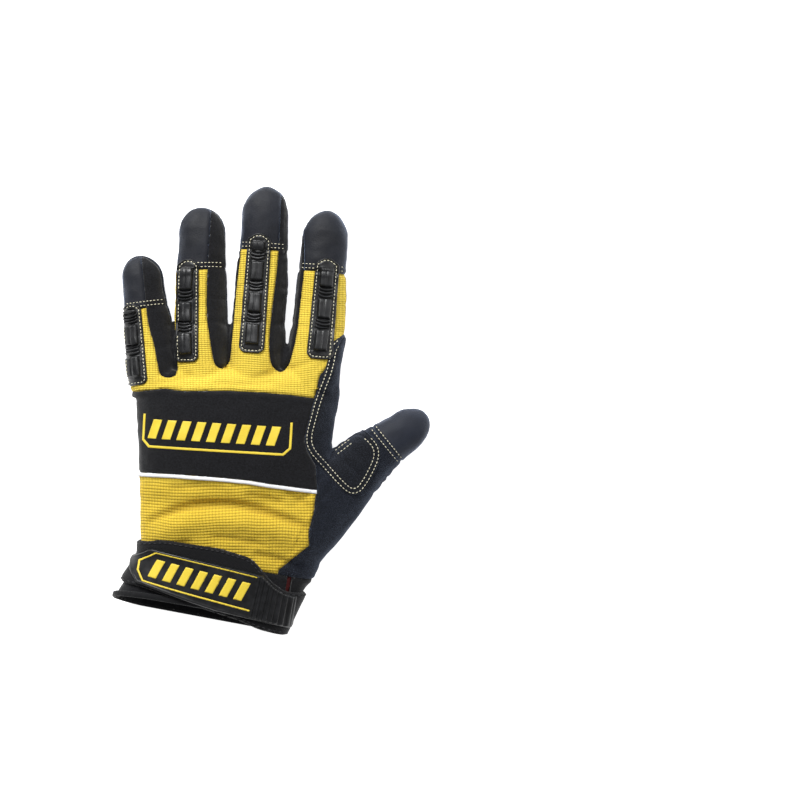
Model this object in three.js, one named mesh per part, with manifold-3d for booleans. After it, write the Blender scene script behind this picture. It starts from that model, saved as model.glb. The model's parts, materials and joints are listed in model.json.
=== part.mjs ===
// A left-hand mechanic glove, lying palm down and filled as by a hand, built as the real one is sewn:
// a leather palm, knit back panels, side strips between the fingers, tip caps, moulded finger guards,
// palm pads and a cuff with a hook-and-loop strap. Millimetres, +Z out of the back of the hand,
// +Y towards the fingertips and +X towards the thumb.
import * as THREE from "three";
import { mergeVertices } from "three/addons/utils/BufferGeometryUtils.js";
import Module from "manifold-3d";

const wasm = await Module();
wasm.setup();

// Driving sizes
const handLength = 99; // wrist seam to the webs of the fingers
const handWidth = 106; // across the knuckle band
const handDepth = 31; // palm to back at the middle of the hand
const wall = 1.7; // cloth and leather with their seams
const gap = 0.3; // between neighbouring pieces
const seamHeight = 9.5; // where the back panels meet the palm
const padThickness = 1.6;
const overlayThickness = 1.0; // the leather laid over the thumb's web
const guardFlange = 1.0; // the thin stitched edge of a finger guard
const guardRib = 1.2; // the low ribs, above the flange
const guardBar = 2.2; // the smooth bars, above the flange
const strapThickness = 1.8;
const tabThickness = 1.5; // the moulded tab on the strap
const gripRibHeight = 0.7;
const pipingWidth = 2.0;
const bindingWidth = 3.2; // along the cuff
const bindingSwell = 0.6; // how far the binding stands out of the cuff
const hemRake = 8; // how much shorter the cuff is on the back than on the palm
const fingerSides = 14;
const bodySides = 24;

// The hand from beyond the hem to the webs, with the fold across the back of the wrist. along is a
// share of handLength, aside and width of handWidth, depth of handDepth and base of the pads'
// thickness; turn is the section's own angle.
const bodyRows = [
  { along: -0.56, aside: -0.275, turn: -11, width: 0.9, depth: 0.96, base: 0.32 },
  { along: -0.367, aside: -0.197, turn: -10.7, width: 0.898, depth: 0.96, base: 0.32 },
  { along: -0.186, aside: -0.107, turn: -6, width: 0.905, depth: 0.92, base: 0.6 },
  { along: -0.06, aside: -0.032, turn: -4, width: 0.925, depth: 0.9, base: 1 },
  { along: 0.1, aside: -0.018, turn: 0, width: 0.95, depth: 0.98, base: 1 },
  { along: 0.19, aside: -0.014, turn: 0, width: 0.968, depth: 0.99, base: 1 },
  { along: 0.26, aside: -0.01, turn: 0, width: 0.976, depth: 0.945, base: 1 },
  { along: 0.34, aside: -0.006, turn: 0, width: 0.984, depth: 0.99, base: 1 },
  { along: 0.62, aside: -0.004, turn: 0, width: 0.996, depth: 1.02, base: 1 },
  { along: 0.84, aside: 0.003, turn: 0, width: 1.038, depth: 0.94, base: 1 },
  { along: 0.93, aside: 0, turn: 0, width: 1.05, depth: 0.86, base: 1 },
  { along: 1.0, aside: 0, turn: 0, width: 1.02, depth: 0.62, base: 1.6 },
];

// A finger from its root inside the hand to the start of its round tip. along is a share of that
// length, width and bow of the finger's width, depth of its depth and base of the pads' thickness.
const fingerRows = [
  { along: 0, width: 0.98, depth: 1.28, base: 1, bow: 0 },
  { along: 0.3, width: 1.07, depth: 1.12, base: 1, bow: 0.7 },
  { along: 0.46, width: 1.04, depth: 1.06, base: 0.3, bow: 1 },
  { along: 0.63, width: 1.0, depth: 1.0, base: 0, bow: 1 },
  { along: 0.82, width: 0.935, depth: 0.95, base: 0, bow: 0.5 },
  { along: 1, width: 0.905, depth: 0.9, base: 0, bow: 0 },
];
const thumbRows = [
  { along: 0, width: 1.75, depth: 1.3, base: 1, bow: 0 },
  { along: 0.24, width: 1.62, depth: 1.3, base: 1, bow: 0 },
  { along: 0.49, width: 1.26, depth: 1.2, base: 0.7, bow: 0.2 },
  { along: 0.71, width: 1.02, depth: 1.06, base: 0, bow: 0.8 },
  { along: 0.91, width: 0.82, depth: 0.94, base: 0, bow: 1 },
  { along: 1, width: 0.76, depth: 0.88, base: 0, bow: 0.7 },
];

// The digits: across, width and bow are shares of handWidth, along, length and cap of handLength
// and depth of handDepth. lean is degrees towards the thumb, cap the tip cap's length from the tip,
// and under says that the cap also wraps the palm side.
const digits = [
  { name: "little", across: -0.421, along: 0.862, length: 0.778, width: 0.239, depth: 0.565, lean: -6.9,
    bow: 0.0085, cap: 0.278, under: false, rows: fingerRows },
  { name: "ring", across: -0.172, along: 0.889, length: 1.02, width: 0.266, depth: 0.629, lean: -0.6,
    bow: -0.0085, cap: 0.323, under: false, rows: fingerRows },
  { name: "middle", across: 0.093, along: 0.889, length: 1.135, width: 0.268, depth: 0.645, lean: 3.5,
    bow: 0.0028, cap: 0.328, under: true, rows: fingerRows },
  { name: "index", across: 0.39, along: 0.889, length: 1.0, width: 0.262, depth: 0.629, lean: 5.2,
    bow: 0.0028, cap: 0.313, under: true, rows: fingerRows },
  { name: "thumb", across: 0.151, along: 0.011, length: 1.168, width: 0.288, depth: 0.677, lean: 51,
    bow: -0.0226, cap: 0.278, under: true, rows: thumbRows },
].map((row) => ({
  ...row,
  length: row.length * handLength,
  cap: row.cap * handLength,
  width: row.width * handWidth,
  bow: row.bow * handWidth,
  depth: row.depth * handDepth,
}));
const [little, ring, middle, index, thumb] = digits;

// Seams down the fingers between the knit and the black side strips: along is a share of the
// finger's length and across of its half width, positive towards the thumb.
const seams = {
  littleInner: [[0.15, 0.34], [0.37, 0.18], [0.45, 0.07], [0.6, 0.03], [0.79, 0.14], [1.06, 0.14]],
  ringOuter: [[0.09, -0.94], [0.2, -0.89], [0.33, -0.97], [0.49, -1.08], [1.06, -1.35]],
  ringInner: [[0.16, 0.49], [0.26, 0.39], [0.41, 0.26], [0.65, 0.31], [0.9, 0.46], [1.06, 0.5]],
  middleOuter: [[0.14, -0.97], [0.25, -0.92], [0.53, -0.95], [0.69, -0.92], [0.76, -1.05], [1.06, -1.35]],
  middleInner: [[0.15, 0.58], [0.23, 0.48], [0.34, 0.48], [0.54, 0.6], [0.69, 0.7], [1.06, 0.72]],
  indexOuter: [[0.15, -0.91], [0.28, -0.74], [0.49, -0.77], [0.64, -0.77], [0.78, -0.88], [1.06, -1.35]],
};
// The side strips: the two seams they lie between and how far the web dips below the seams' ends.
const sideStrips = [
  { name: "side_strip_little_ring", left: [little, "littleInner"], right: [ring, "ringOuter"], dip: 2.2 },
  { name: "side_strip_ring_middle", left: [ring, "ringInner"], right: [middle, "middleOuter"], dip: 4.5 },
  { name: "side_strip_middle_index", left: [middle, "middleInner"], right: [index, "indexOuter"], dip: 6 },
];

// Guards: where each starts and ends on its finger, as shares of its length, its middle as a share
// of the half width there, and its width as a share of the finger's width.
const guards = [
  { digit: little, from: 0.08, to: 0.665, middleAt: -0.66, width: 0.5 },
  { digit: ring, from: 0.15, to: 0.712, middleAt: -0.5, width: 0.46 },
  { digit: middle, from: 0.178, to: 0.764, middleAt: -0.14, width: 0.49 },
  { digit: index, from: 0.172, to: 0.735, middleAt: 0.2, width: 0.5 },
];
const guardInset = 4.5; // from the flange's ends to the bars
const guardBarWidth = 6.6;
const guardBarLength = 11;
const guardPitch = 17.5; // from one smooth bar to the next
const guardRibLength = 1.5;
const guardRibGap = 1.2; // from a bar to its first rib
const guardRibPitch = 2.6;

// Panel seams on the back, as shares of handWidth across and handLength along
const bandTop = [[-0.7, 0.875], [-0.503, 0.879], [-0.363, 0.897], [-0.259, 0.882], [-0.017, 0.883],
  [0.155, 0.874], [0.284, 0.861], [0.413, 0.842]];
const bandBottom = [[-0.7, 0.435], [-0.497, 0.432], [-0.31, 0.424], [-0.09, 0.408], [0.08, 0.39],
  [0.17, 0.373], [0.425, 0.335]];
const bandEdge = [[0.4, 0.79], [0.364, 0.622], [0.375, 0.556], [0.42, 0.47]];
const knitEdge = [[0.439, 0.967], [0.486, 1.022], [0.507, 1.094], [0.56, 1.19], [0.66, 1.24]];
const wristKnitEdge = [[0.417, 0.29], [0.408, 0.21], [0.382, 0.11], [0.386, 0.03], [0.231, -0.1]];
const overlay = [[0.6, 1.24], [0.55, 1.189], [0.49, 1.144], [0.472, 1.01], [0.415, 0.856], [0.384, 0.733],
  [0.358, 0.622], [0.374, 0.55], [0.436, 0.472], [0.545, 0.344], [0.592, 0.306], [0.643, 0.311],
  [0.685, 0.361], [0.734, 0.461], [0.755, 0.528], [0.742, 0.592], [0.7, 0.639], [0.66, 0.67],
  [0.58, 0.66], [0.6, 0.9]];

// Palm pads, as shares of the hand. The knuckle pad's bumps reach onto the roots of the fingers.
const knucklePad = [[0.402, 0.739], [0.432, 0.817], [0.436, 1.075], [0.405, 1.111], [0.375, 1.102],
  [0.345, 1.028], [0.293, 0.988], [0.25, 0.992], [0.207, 1.067], [0.163, 1.135], [0.124, 1.102],
  [0.094, 1.039], [0.042, 1.011], [-0.019, 1.043], [-0.061, 1.089], [-0.096, 1.093], [-0.122, 1.061],
  [-0.147, 1.001], [-0.216, 0.956], [-0.268, 0.983], [-0.311, 1.047], [-0.354, 1.068], [-0.389, 1.047],
  [-0.414, 0.964], [-0.419, 0.817], [-0.414, 0.679], [-0.397, 0.642], [-0.354, 0.647], [-0.233, 0.697],
  [-0.104, 0.78], [0.016, 0.819], [0.154, 0.808], [0.283, 0.771], [0.36, 0.743]];
const thenarPad = [[0.402, 0.614], [0.293, 0.647], [0.096, 0.669], [0.079, 0.651], [0.027, 0.541],
  [-0.016, 0.43], [-0.037, 0.311], [-0.042, 0.191], [-0.016, 0.122], [0.027, 0.112], [0.122, 0.131],
  [0.225, 0.15], [0.251, 0.182], [0.293, 0.311], [0.337, 0.448], [0.389, 0.578]];
const heelPad = [[-0.089, 0.642], [-0.12, 0.656], [-0.154, 0.651], [-0.275, 0.596], [-0.385, 0.513],
  [-0.4, 0.45], [-0.388, 0.357], [-0.353, 0.218], [-0.31, 0.117], [-0.267, 0.052], [-0.224, 0.043],
  [-0.172, 0.062], [-0.151, 0.126], [-0.155, 0.264], [-0.129, 0.403], [-0.094, 0.522]];

// The cuff's seam and hem, each a point as shares of the hand and an angle, and its slit
const wristSeamAt = [-0.45, 0.005];
const wristSeamAngle = -10.5;
const hemAt = [-0.197, -0.372];
const hemAngle = -10.6;
const slitOutline = [[0.31, 0.1], [0.33, 0.1], [0.235, -0.6], [0.2, -0.6]];

// The strap and its tab, as shares of the hand; the tab's grip is the end towards the thumb.
const strapFrom = 4; // the height where the strap starts on the glove's sides
const strapAngle = -14;
const strapOutline = [[-0.7, 0.09], [-0.46, 0.055], [-0.363, 0.067], [-0.073, 0.022], [0.089, -0.033],
  [0.135, -0.089], [0.187, -0.162], [0.26, -0.222], [0.5, -0.24], [0.4, -0.5], [0.229, -0.463],
  [0.12, -0.428], [0.026, -0.378], [-0.228, -0.289], [-0.467, -0.2], [-0.7, -0.15]];
const tabCentre = [-0.115, -0.187];
const tabLength = 88;
const tabWidth = 25;
const tabChamfer = 8;
const tabMargin = 1.2; // from the strap's edge to the tab, where they meet
const gripRibs = 8;
const gripRibWidth = 1.3;
const gripPitch = 2.6;

const degrees = Math.PI / 180;
const flatBelow = 0.8; // the oval sections are flat below this share of their half depth
const lowest = -20; // the heights that every cutting prism spans
const highest = 80;

// A value of a table between its rows, on one smooth curve through them
function sample(rows, key, along) {
  let i = 0;
  while (i < rows.length - 2 && along > rows[i + 1].along) i++;
  const at = (k) => rows[Math.min(Math.max(k, 0), rows.length - 1)];
  const [a, b, c, d] = [at(i - 1), at(i), at(i + 1), at(i + 2)];
  const span = c.along - b.along;
  const t = THREE.MathUtils.clamp((along - b.along) / span, 0, 1);
  const slopeB = ((c[key] - a[key]) / (c.along - a.along)) * span;
  const slopeC = ((d[key] - b[key]) / (d.along - b.along)) * span;
  const t2 = t * t;
  const t3 = t2 * t;
  return (2 * t3 - 3 * t2 + 1) * b[key] + (t3 - 2 * t2 + t) * slopeB
    + (-2 * t3 + 3 * t2) * c[key] + (t3 - t2) * slopeC;
}

// One oval section, flat where it rests. centre is its place, turn its angle about Z.
function ovalRing({ centre, turn, halfWidth, depth, base, sides, squareness }) {
  const ring = [];
  for (let i = 0; i < sides; i++) {
    const angle = (2 * Math.PI * (i + 0.5)) / sides;
    const power = (v) => Math.sign(v) * Math.abs(v) ** (2 / squareness);
    const side = halfWidth * power(Math.cos(angle));
    const rise = Math.max(power(Math.sin(angle)), -flatBelow);
    const up = base + (depth * (rise + flatBelow)) / (1 + flatBelow);
    ring.push(new THREE.Vector3(centre.x + side * Math.cos(turn), centre.y + side * Math.sin(turn), up));
  }
  return ring;
}

// A closed solid through rings of equal count, with a flat end at each
function loftSolid(rings) {
  const sides = rings[0].length;
  const points = rings.flat();
  const faces = [];
  for (let r = 0; r + 1 < rings.length; r++) {
    for (let i = 0; i < sides; i++) {
      const [a, b] = [r * sides + i, r * sides + ((i + 1) % sides)];
      faces.push(a, b, b + sides, a, b + sides, a + sides);
    }
  }
  for (const [ringAt, order] of [[0, 1], [rings.length - 1, -1]]) {
    const middlePoint = new THREE.Vector3();
    rings[ringAt].forEach((p) => middlePoint.addScaledVector(p, 1 / sides));
    points.push(middlePoint);
    for (let i = 0; i < sides; i++) {
      const [a, b] = [ringAt * sides + i, ringAt * sides + ((i + 1) % sides)];
      faces.push(...(order > 0 ? [b, a] : [a, b]), points.length - 1);
    }
  }
  const geometry = new THREE.BufferGeometry().setFromPoints(points);
  geometry.setIndex(faces);
  const made = solidOf(geometry);
  return made.volume() < 0 ? solidOf(flipped(geometry)) : made;
}

function flipped(geometry) {
  const order = geometry.index.array;
  for (let i = 0; i < order.length; i += 3) [order[i + 1], order[i + 2]] = [order[i + 2], order[i + 1]];
  return geometry;
}

function solidOf(geometry) {
  const bare = geometry.clone();
  bare.deleteAttribute("normal");
  bare.deleteAttribute("uv");
  const merged = mergeVertices(bare, 1e-4);
  return new wasm.Manifold(new wasm.Mesh({
    numProp: 3,
    vertProperties: new Float32Array(merged.attributes.position.array),
    triVerts: new Uint32Array(merged.index.array),
  }));
}

// The hand without its digits, grown by some thickness all round
function bodySolid(grow) {
  const last = bodyRows.length - 1;
  const rings = bodyRows.map((row, i) => ovalRing({
    centre: new THREE.Vector2(row.aside * handWidth, row.along * handLength + (i === last ? grow : 0)),
    turn: row.turn * degrees,
    halfWidth: (row.width * handWidth) / 2 + grow,
    depth: row.depth * handDepth + 2 * grow,
    base: row.base * (padThickness + gap) - grow,
    sides: bodySides,
    squareness: 2.35,
  }));
  return loftSolid(rings);
}

// A digit's place at a share of its whole length: its axis, width, depth and base
function digitAt(digit, share) {
  const tipLength = 0.55 * digit.width;
  const straight = digit.length - tipLength;
  const reach = share * digit.length;
  const along = THREE.MathUtils.clamp(reach / straight, 0, 1);
  const dome = THREE.MathUtils.clamp((reach - straight) / tipLength, 0, 1);
  const round = Math.sqrt(1 - Math.min(dome, 0.985) ** 2);
  const lean = digit.lean * degrees;
  const forward = new THREE.Vector2(Math.sin(lean), Math.cos(lean));
  const sideways = new THREE.Vector2(Math.cos(lean), -Math.sin(lean));
  const bow = sample(digit.rows, "bow", along) * digit.bow;
  const centre = new THREE.Vector2(digit.across * handWidth, digit.along * handLength)
    .addScaledVector(forward, reach).addScaledVector(sideways, bow);
  return {
    centre,
    turn: -lean,
    sideways,
    halfWidth: (sample(digit.rows, "width", along) * digit.width * round) / 2,
    depth: sample(digit.rows, "depth", along) * digit.depth,
    base: sample(digit.rows, "base", along) * (padThickness + gap),
    round,
  };
}

function digitSolid(digit, grow) {
  const straight = 1 - (0.55 * digit.width) / digit.length;
  const stations = digit.rows.map((row) => row.along * straight);
  for (const part of [0.5, 0.84, 1]) stations.push(straight + part * (1 - straight));
  const rings = stations.map((share, i) => {
    const at = digitAt(digit, share);
    const forward = new THREE.Vector2(-Math.sin(at.turn), Math.cos(at.turn));
    const beyond = i === 0 ? -grow : i === stations.length - 1 ? grow : 0;
    return ovalRing({
      centre: at.centre.clone().addScaledVector(forward, beyond),
      turn: at.turn,
      halfWidth: Math.max(at.halfWidth + grow, 0.4),
      depth: Math.max(at.depth * at.round + 2 * grow, 0.4),
      base: at.base + (at.depth * (1 - at.round)) / 2 - grow,
      sides: fingerSides,
      squareness: 2.2,
    });
  });
  return loftSolid(rings);
}

// The whole filled glove grown by some thickness, or shrunk to its hollow
function filledGlove(grow) {
  return digits.reduce((sum, digit) => sum.add(digitSolid(digit, grow)), bodySolid(grow));
}

const onHand = ([across, along]) => new THREE.Vector2(across * handWidth, along * handLength);

function onDigit(digit, share, across) {
  const at = digitAt(digit, Math.min(share, 1));
  const lean = digit.lean * degrees;
  const beyond = Math.max(share - 1, 0) * digit.length;
  const half = Math.max(at.halfWidth, digit.width * 0.42);
  return at.centre.clone().addScaledVector(at.sideways, across * half)
    .add(new THREE.Vector2(Math.sin(lean), Math.cos(lean)).multiplyScalar(beyond));
}

// The points of an outline moved outwards by a distance, or inwards by a negative one
function grownOutline(points, distance) {
  if (distance === 0) return points;
  const outward = THREE.ShapeUtils.area(points) > 0 ? 1 : -1;
  return points.map((p, i) => {
    const before = points[(i + points.length - 1) % points.length];
    const after = points[(i + 1) % points.length];
    const first = p.clone().sub(before).normalize();
    const second = after.clone().sub(p).normalize();
    const normal = new THREE.Vector2(first.y + second.y, -first.x - second.x).normalize();
    const stretch = Math.max(0.5, Math.abs(normal.x * first.y - normal.y * first.x));
    return p.clone().addScaledVector(normal, (outward * distance) / stretch);
  });
}

// An upright prism over an outline, from one height to another
function prism(points, grow = 0, low = lowest, high = highest) {
  const shape = new THREE.Shape(grownOutline(points, grow));
  const geometry = new THREE.ExtrudeGeometry(shape, { depth: high - low, bevelEnabled: false });
  return solidOf(geometry.translate(0, 0, low));
}

// All that lies between two heights
const everywhere = [[-9, -9], [9, -9], [9, 9], [-9, 9]].map(onHand);
const slab = (low, high) => prism(everywhere, 0, low, high);

// The half space beyond a line on the back of the hand, as a big block. rake tips the face.
const far = 400;
function beyondLine(start, shift, angle, rake) {
  const from = onHand(start);
  const place = new THREE.Matrix4().makeTranslation(from.x, from.y + shift, 0)
    .multiply(new THREE.Matrix4().makeRotationZ(angle * degrees))
    .multiply(new THREE.Matrix4().makeRotationX(-rake))
    .multiply(new THREE.Matrix4().makeTranslation(0, far / 2, 0));
  return solidOf(new THREE.BoxGeometry(far, far, far).applyMatrix4(place));
}

// The biggest body of a solid: thin left-over slivers of a seam are cut away
function mainBody(solid) {
  return solid.decompose().sort((a, b) => b.volume() - a.volume())[0];
}

const outer = filledGlove(0);
const hollow = filledGlove(-wall);
const shell = outer.subtract(hollow);

// The shell is parted at the wrist seam and at the seam round the sides
const halfGap = gap / 2;
const beyondWrist = (shift) => beyondLine(wristSeamAt, shift, wristSeamAngle, 0);
const beyondHem = (shift) => beyondLine(hemAt, shift, hemAngle, Math.atan2(hemRake, handDepth));
const back = shell.intersect(beyondWrist(halfGap)).subtract(slab(lowest, seamHeight + halfGap));
const under = shell.intersect(beyondWrist(halfGap)).intersect(slab(lowest, seamHeight - halfGap));

const seamPoints = (digit, name) => seams[name].map(([share, across]) => onDigit(digit, share, across));

function stripOutline({ left, right, dip }) {
  const up = seamPoints(...left);
  const down = seamPoints(...right).reverse();
  const [a, b] = [down[down.length - 1], up[0]];
  const web = [0.15, 0.5, 0.85].map((t) =>
    a.clone().lerp(b, t).add(new THREE.Vector2(0, -dip * Math.sin(Math.PI * t) ** 0.6)));
  return [...up, ...down, ...web];
}

function capOutline(digit) {
  const line = 1 - digit.cap / digit.length;
  const points = [[line, 1.35], [line, -1.35], [1.15, -1.6], [1.15, 1.6]];
  return points.map(([share, across]) => onDigit(digit, share, across));
}

const strips = sideStrips.map((strip) => ({ name: strip.name, outline: stripOutline(strip) }));
const stripCut = strips.map((s) => prism(s.outline, gap)).reduce((a, b) => a.add(b));
const capCut = digits.map((d) => prism(capOutline(d), gap)).reduce((a, b) => a.add(b));

const knitField = [...bandTop, ...knitEdge, [0.66, 3], [-0.7, 3]].map(onHand);
const bandField = [...bandTop, ...bandEdge, ...[...bandBottom].reverse()].map(onHand);
const pipingShare = pipingWidth / handLength;
const lowered = (points, share) => points.map(([x, y]) => [x, y - share]);
const pipingField = [...bandBottom, ...lowered(bandBottom, pipingShare).reverse()].map(onHand);
const wristField = [...lowered(bandBottom, pipingShare), ...wristKnitEdge, [0.1, -0.6], [-0.7, -0.6]]
  .map(onHand);

const nodes = [];
function piece(name, solid, material) {
  nodes.push({ name, solid: mainBody(solid), material });
}

const leather = { color: 0x191a1e, roughness: 0.75, metalness: 0 };
const suede = { color: 0x1b1c21, roughness: 0.9, metalness: 0 };
const knit = { color: 0xf2c01c, roughness: 0.85, metalness: 0 };
const stretchCloth = { color: 0x17171a, roughness: 0.85, metalness: 0 };
const reflective = { color: 0xe9e9e6, roughness: 0.4, metalness: 0 };
const moulded = { color: 0x1d1e20, roughness: 0.45, metalness: 0 };
const webbing = { color: 0x131315, roughness: 0.7, metalness: 0 };

const wholeKnit = back.intersect(prism(knitField, -halfGap));
piece("knit_knuckles", wholeKnit.subtract(stripCut).subtract(capCut), knit);
piece("knuckle_band", back.intersect(prism(bandField, -halfGap)), stretchCloth);
piece("piping", back.intersect(prism(pipingField, -halfGap)), reflective);
piece("knit_wrist", back.intersect(prism(wristField, -halfGap)), knit);
for (const strip of strips) {
  piece(strip.name, back.intersect(prism(strip.outline, 0)), stretchCloth);
}
for (const digit of digits) {
  const whole = digit.under ? shell : back;
  const cap = whole.intersect(prism(capOutline(digit), 0)).subtract(stripCut);
  piece(digit === thumb ? "thumb_tip" : "fingertip_" + digit.name, cap, leather);
}
piece("thumb_back", back.subtract(prism(knitField, halfGap)).subtract(prism(bandField, halfGap))
  .subtract(prism(pipingField, halfGap)).subtract(prism(wristField, halfGap))
  .subtract(stripCut).subtract(capCut), suede);
const underCaps = digits.filter((d) => d.under).map((d) => prism(capOutline(d), gap))
  .reduce((a, b) => a.add(b));
piece("palm", under.subtract(underCaps), leather);

// A layer that follows the glove's surface, from one height above it to another
const layers = new Map();
const grownGlove = (grow) => {
  if (!layers.has(grow)) layers.set(grow, filledGlove(grow));
  return layers.get(grow);
};
const layer = (low, high) => grownGlove(high).subtract(grownGlove(low));
const aboveSeam = slab(seamHeight + gap, highest);

const padLayer = layer(gap, gap + padThickness).intersect(slab(0, seamHeight - gap));
piece("pad_knuckles", padLayer.intersect(prism(knucklePad.map(onHand))), suede);
piece("pad_thenar", padLayer.intersect(prism(thenarPad.map(onHand))), suede);
piece("pad_heel", padLayer.intersect(prism(heelPad.map(onHand))), suede);

// A guard: a stitched flange, a row of smooth bars and low ribs between them
function guardOutline(guard, half, from, to) {
  const { digit } = guard;
  const point = (share, side) => onDigit(digit, share, guard.middleAt)
    .addScaledVector(digitAt(digit, share).sideways, side);
  const corner = half * 0.35;
  const step = corner / digit.length;
  const taper = 0.93;
  const shoulder = to - 1.3 * step;
  return [point(from, -half + corner), point(from + step, -half), point(shoulder, -half * taper),
    point(to, -half * 0.3), point(to, half * 0.3), point(shoulder, half * taper),
    point(from + step, half), point(from, half - corner)];
}

const guardHalf = (guard) => (guard.width * guard.digit.width) / 2;
for (const guard of guards) {
  const { digit, from, to } = guard;
  const half = guardHalf(guard);
  const flange = layer(gap, gap + guardFlange).intersect(prism(guardOutline(guard, half, from, to)));
  const box = (start, end, halfWide) => prism([[start, -1], [end, -1], [end, 1], [start, 1]]
    .map(([share, side]) => onDigit(digit, share, guard.middleAt)
      .addScaledVector(digitAt(digit, share).sideways, side * halfWide)));
  const low = layer(gap, gap + guardFlange + guardRib);
  const tall = layer(gap, gap + guardFlange + guardBar);
  const first = from + guardInset / digit.length;
  const last = to - guardInset / digit.length;
  let solid = flange;
  for (let start = first; start < last - 4 / digit.length; start += guardPitch / digit.length) {
    const end = Math.min(start + guardBarLength / digit.length, last);
    solid = solid.add(tall.intersect(box(start, end, guardBarWidth / 2)));
    for (const k of [0, 1]) {
      const rib = end + (guardRibGap + k * guardRibPitch) / digit.length;
      const ribEnd = rib + guardRibLength / digit.length;
      if (ribEnd < last) solid = solid.add(low.intersect(box(rib, ribEnd, guardBarWidth / 2 + 0.4)));
    }
  }
  piece("guard_" + digit.name, solid.intersect(aboveSeam), moulded);
}

const indexGuard = guards[3];
piece("web_overlay", layer(gap, gap + overlayThickness).intersect(prism(overlay.map(onHand)))
  .subtract(prism(guardOutline(indexGuard, guardHalf(indexGuard), indexGuard.from, indexGuard.to), gap))
  .intersect(aboveSeam), leather);

// The cuff with its slit on the thumb side, the binding round its hem, the strap and its tab
const bodyShell = bodySolid(0).subtract(bodySolid(-wall));
const slit = prism(slitOutline.map(onHand), 0, seamHeight);
const cuff = bodyShell.subtract(beyondWrist(-gap / 2)).intersect(beyondHem(bindingWidth * 0.6 + gap))
  .subtract(slit);
piece("cuff", cuff, stretchCloth);
const bindingShell = bodySolid(bindingSwell).subtract(bodySolid(-wall - bindingSwell));
piece("hem_binding", bindingShell.subtract(beyondHem(bindingWidth * 0.6))
  .intersect(beyondHem(-bindingWidth * 0.4)), webbing);

const strapLayer = (low, high) => bodySolid(high).subtract(bodySolid(low));
const strapLift = gap + bindingSwell + 0.2;
const strapRegion = prism(strapOutline.map(onHand), 0, strapFrom);
piece("strap", strapLayer(strapLift, strapLift + strapThickness).intersect(strapRegion), webbing);

function onTab(u, v) {
  const place = onHand(tabCentre);
  const c = Math.cos(strapAngle * degrees);
  const s = Math.sin(strapAngle * degrees);
  return new THREE.Vector2(place.x + u * c - v * s, place.y + u * s + v * c);
}
const tabLow = strapLift + strapThickness + gap;
const tabEnds = [-tabLength / 2, tabLength / 2];
const labelOutline = [[tabEnds[0], 0.25], [tabEnds[0] + tabChamfer, 1], [tabEnds[1], 1], [tabEnds[1], -1],
  [tabEnds[0] + tabChamfer, -1], [tabEnds[0], -0.25]].map(([u, side]) => onTab(u, (side * tabWidth) / 2));
let tab = strapLayer(tabLow, tabLow + tabThickness).intersect(prism(labelOutline, 0, strapFrom));
for (let k = 0; k < gripRibs; k++) {
  const u = tabEnds[1] - 1 - gripRibWidth - k * gripPitch;
  const ribOutline = [[u, -1], [u + gripRibWidth, -1], [u + gripRibWidth, 1], [u, 1]]
    .map(([a, side]) => onTab(a, side * (tabWidth / 2 - 0.8)));
  tab = tab.add(strapLayer(tabLow, tabLow + tabThickness + gripRibHeight)
    .intersect(prism(ribOutline, 0, strapFrom)));
}
piece("strap_tab", tab.intersect(prism(strapOutline.map(onHand), -tabMargin)), moulded);

// The group, moved so that its origin is under the middle of the glove
function meshOf({ name, solid, material }) {
  const made = solid.getMesh();
  const geometry = new THREE.BufferGeometry();
  geometry.setAttribute("position", new THREE.BufferAttribute(new Float32Array(made.vertProperties), 3));
  geometry.setIndex(new THREE.BufferAttribute(new Uint32Array(made.triVerts), 1));
  const mesh = new THREE.Mesh(geometry, new THREE.MeshStandardMaterial(material));
  mesh.name = name;
  return mesh;
}

const glove = new THREE.Group();
nodes.forEach((node) => glove.add(meshOf(node)));
const box = new THREE.Box3().setFromObject(glove);
const middleOfBox = box.getCenter(new THREE.Vector3());
glove.position.set(-middleOfBox.x, -middleOfBox.y, -box.min.z);

export default glove;
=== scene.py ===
# The looks of a left-hand mechanic glove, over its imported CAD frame. Sizes are in millimetres in the
# tables and become metres where a mesh is made. "Hand" coordinates are the CAD source's own, before
# it moves the glove so that the origin is under its middle.
import json
import math

import bpy
import numpy as np
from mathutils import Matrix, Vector, noise
from mathutils.bvhtree import BVHTree
from mathutils.kdtree import KDTree

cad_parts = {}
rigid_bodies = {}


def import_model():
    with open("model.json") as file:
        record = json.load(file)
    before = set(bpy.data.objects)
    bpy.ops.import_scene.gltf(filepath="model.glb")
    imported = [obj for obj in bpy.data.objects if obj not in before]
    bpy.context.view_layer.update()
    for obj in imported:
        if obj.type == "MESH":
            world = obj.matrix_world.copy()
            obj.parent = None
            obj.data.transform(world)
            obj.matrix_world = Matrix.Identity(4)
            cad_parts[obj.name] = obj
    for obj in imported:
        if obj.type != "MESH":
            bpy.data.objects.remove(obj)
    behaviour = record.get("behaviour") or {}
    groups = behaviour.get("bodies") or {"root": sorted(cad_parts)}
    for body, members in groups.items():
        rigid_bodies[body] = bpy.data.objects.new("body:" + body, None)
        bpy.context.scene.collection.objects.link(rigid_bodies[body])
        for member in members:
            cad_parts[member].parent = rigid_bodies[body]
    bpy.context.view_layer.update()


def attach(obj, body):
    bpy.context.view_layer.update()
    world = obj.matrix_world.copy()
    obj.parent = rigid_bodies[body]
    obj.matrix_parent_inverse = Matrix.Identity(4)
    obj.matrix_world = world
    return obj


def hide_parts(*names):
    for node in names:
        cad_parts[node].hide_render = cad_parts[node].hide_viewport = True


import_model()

# Sizes that repeat the CAD source
HAND_LENGTH = 99.0
HAND_WIDTH = 106.0
HAND_DEPTH = 31.0
PAD = 1.6
GAP = 0.3
SEAM_HEIGHT = 9.5
FLAT_BELOW = 0.8
HEM_RAKE = 8.0
HEM_ANGLE = -10.6
WRIST_SEAM_ANGLE = -10.5
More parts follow.
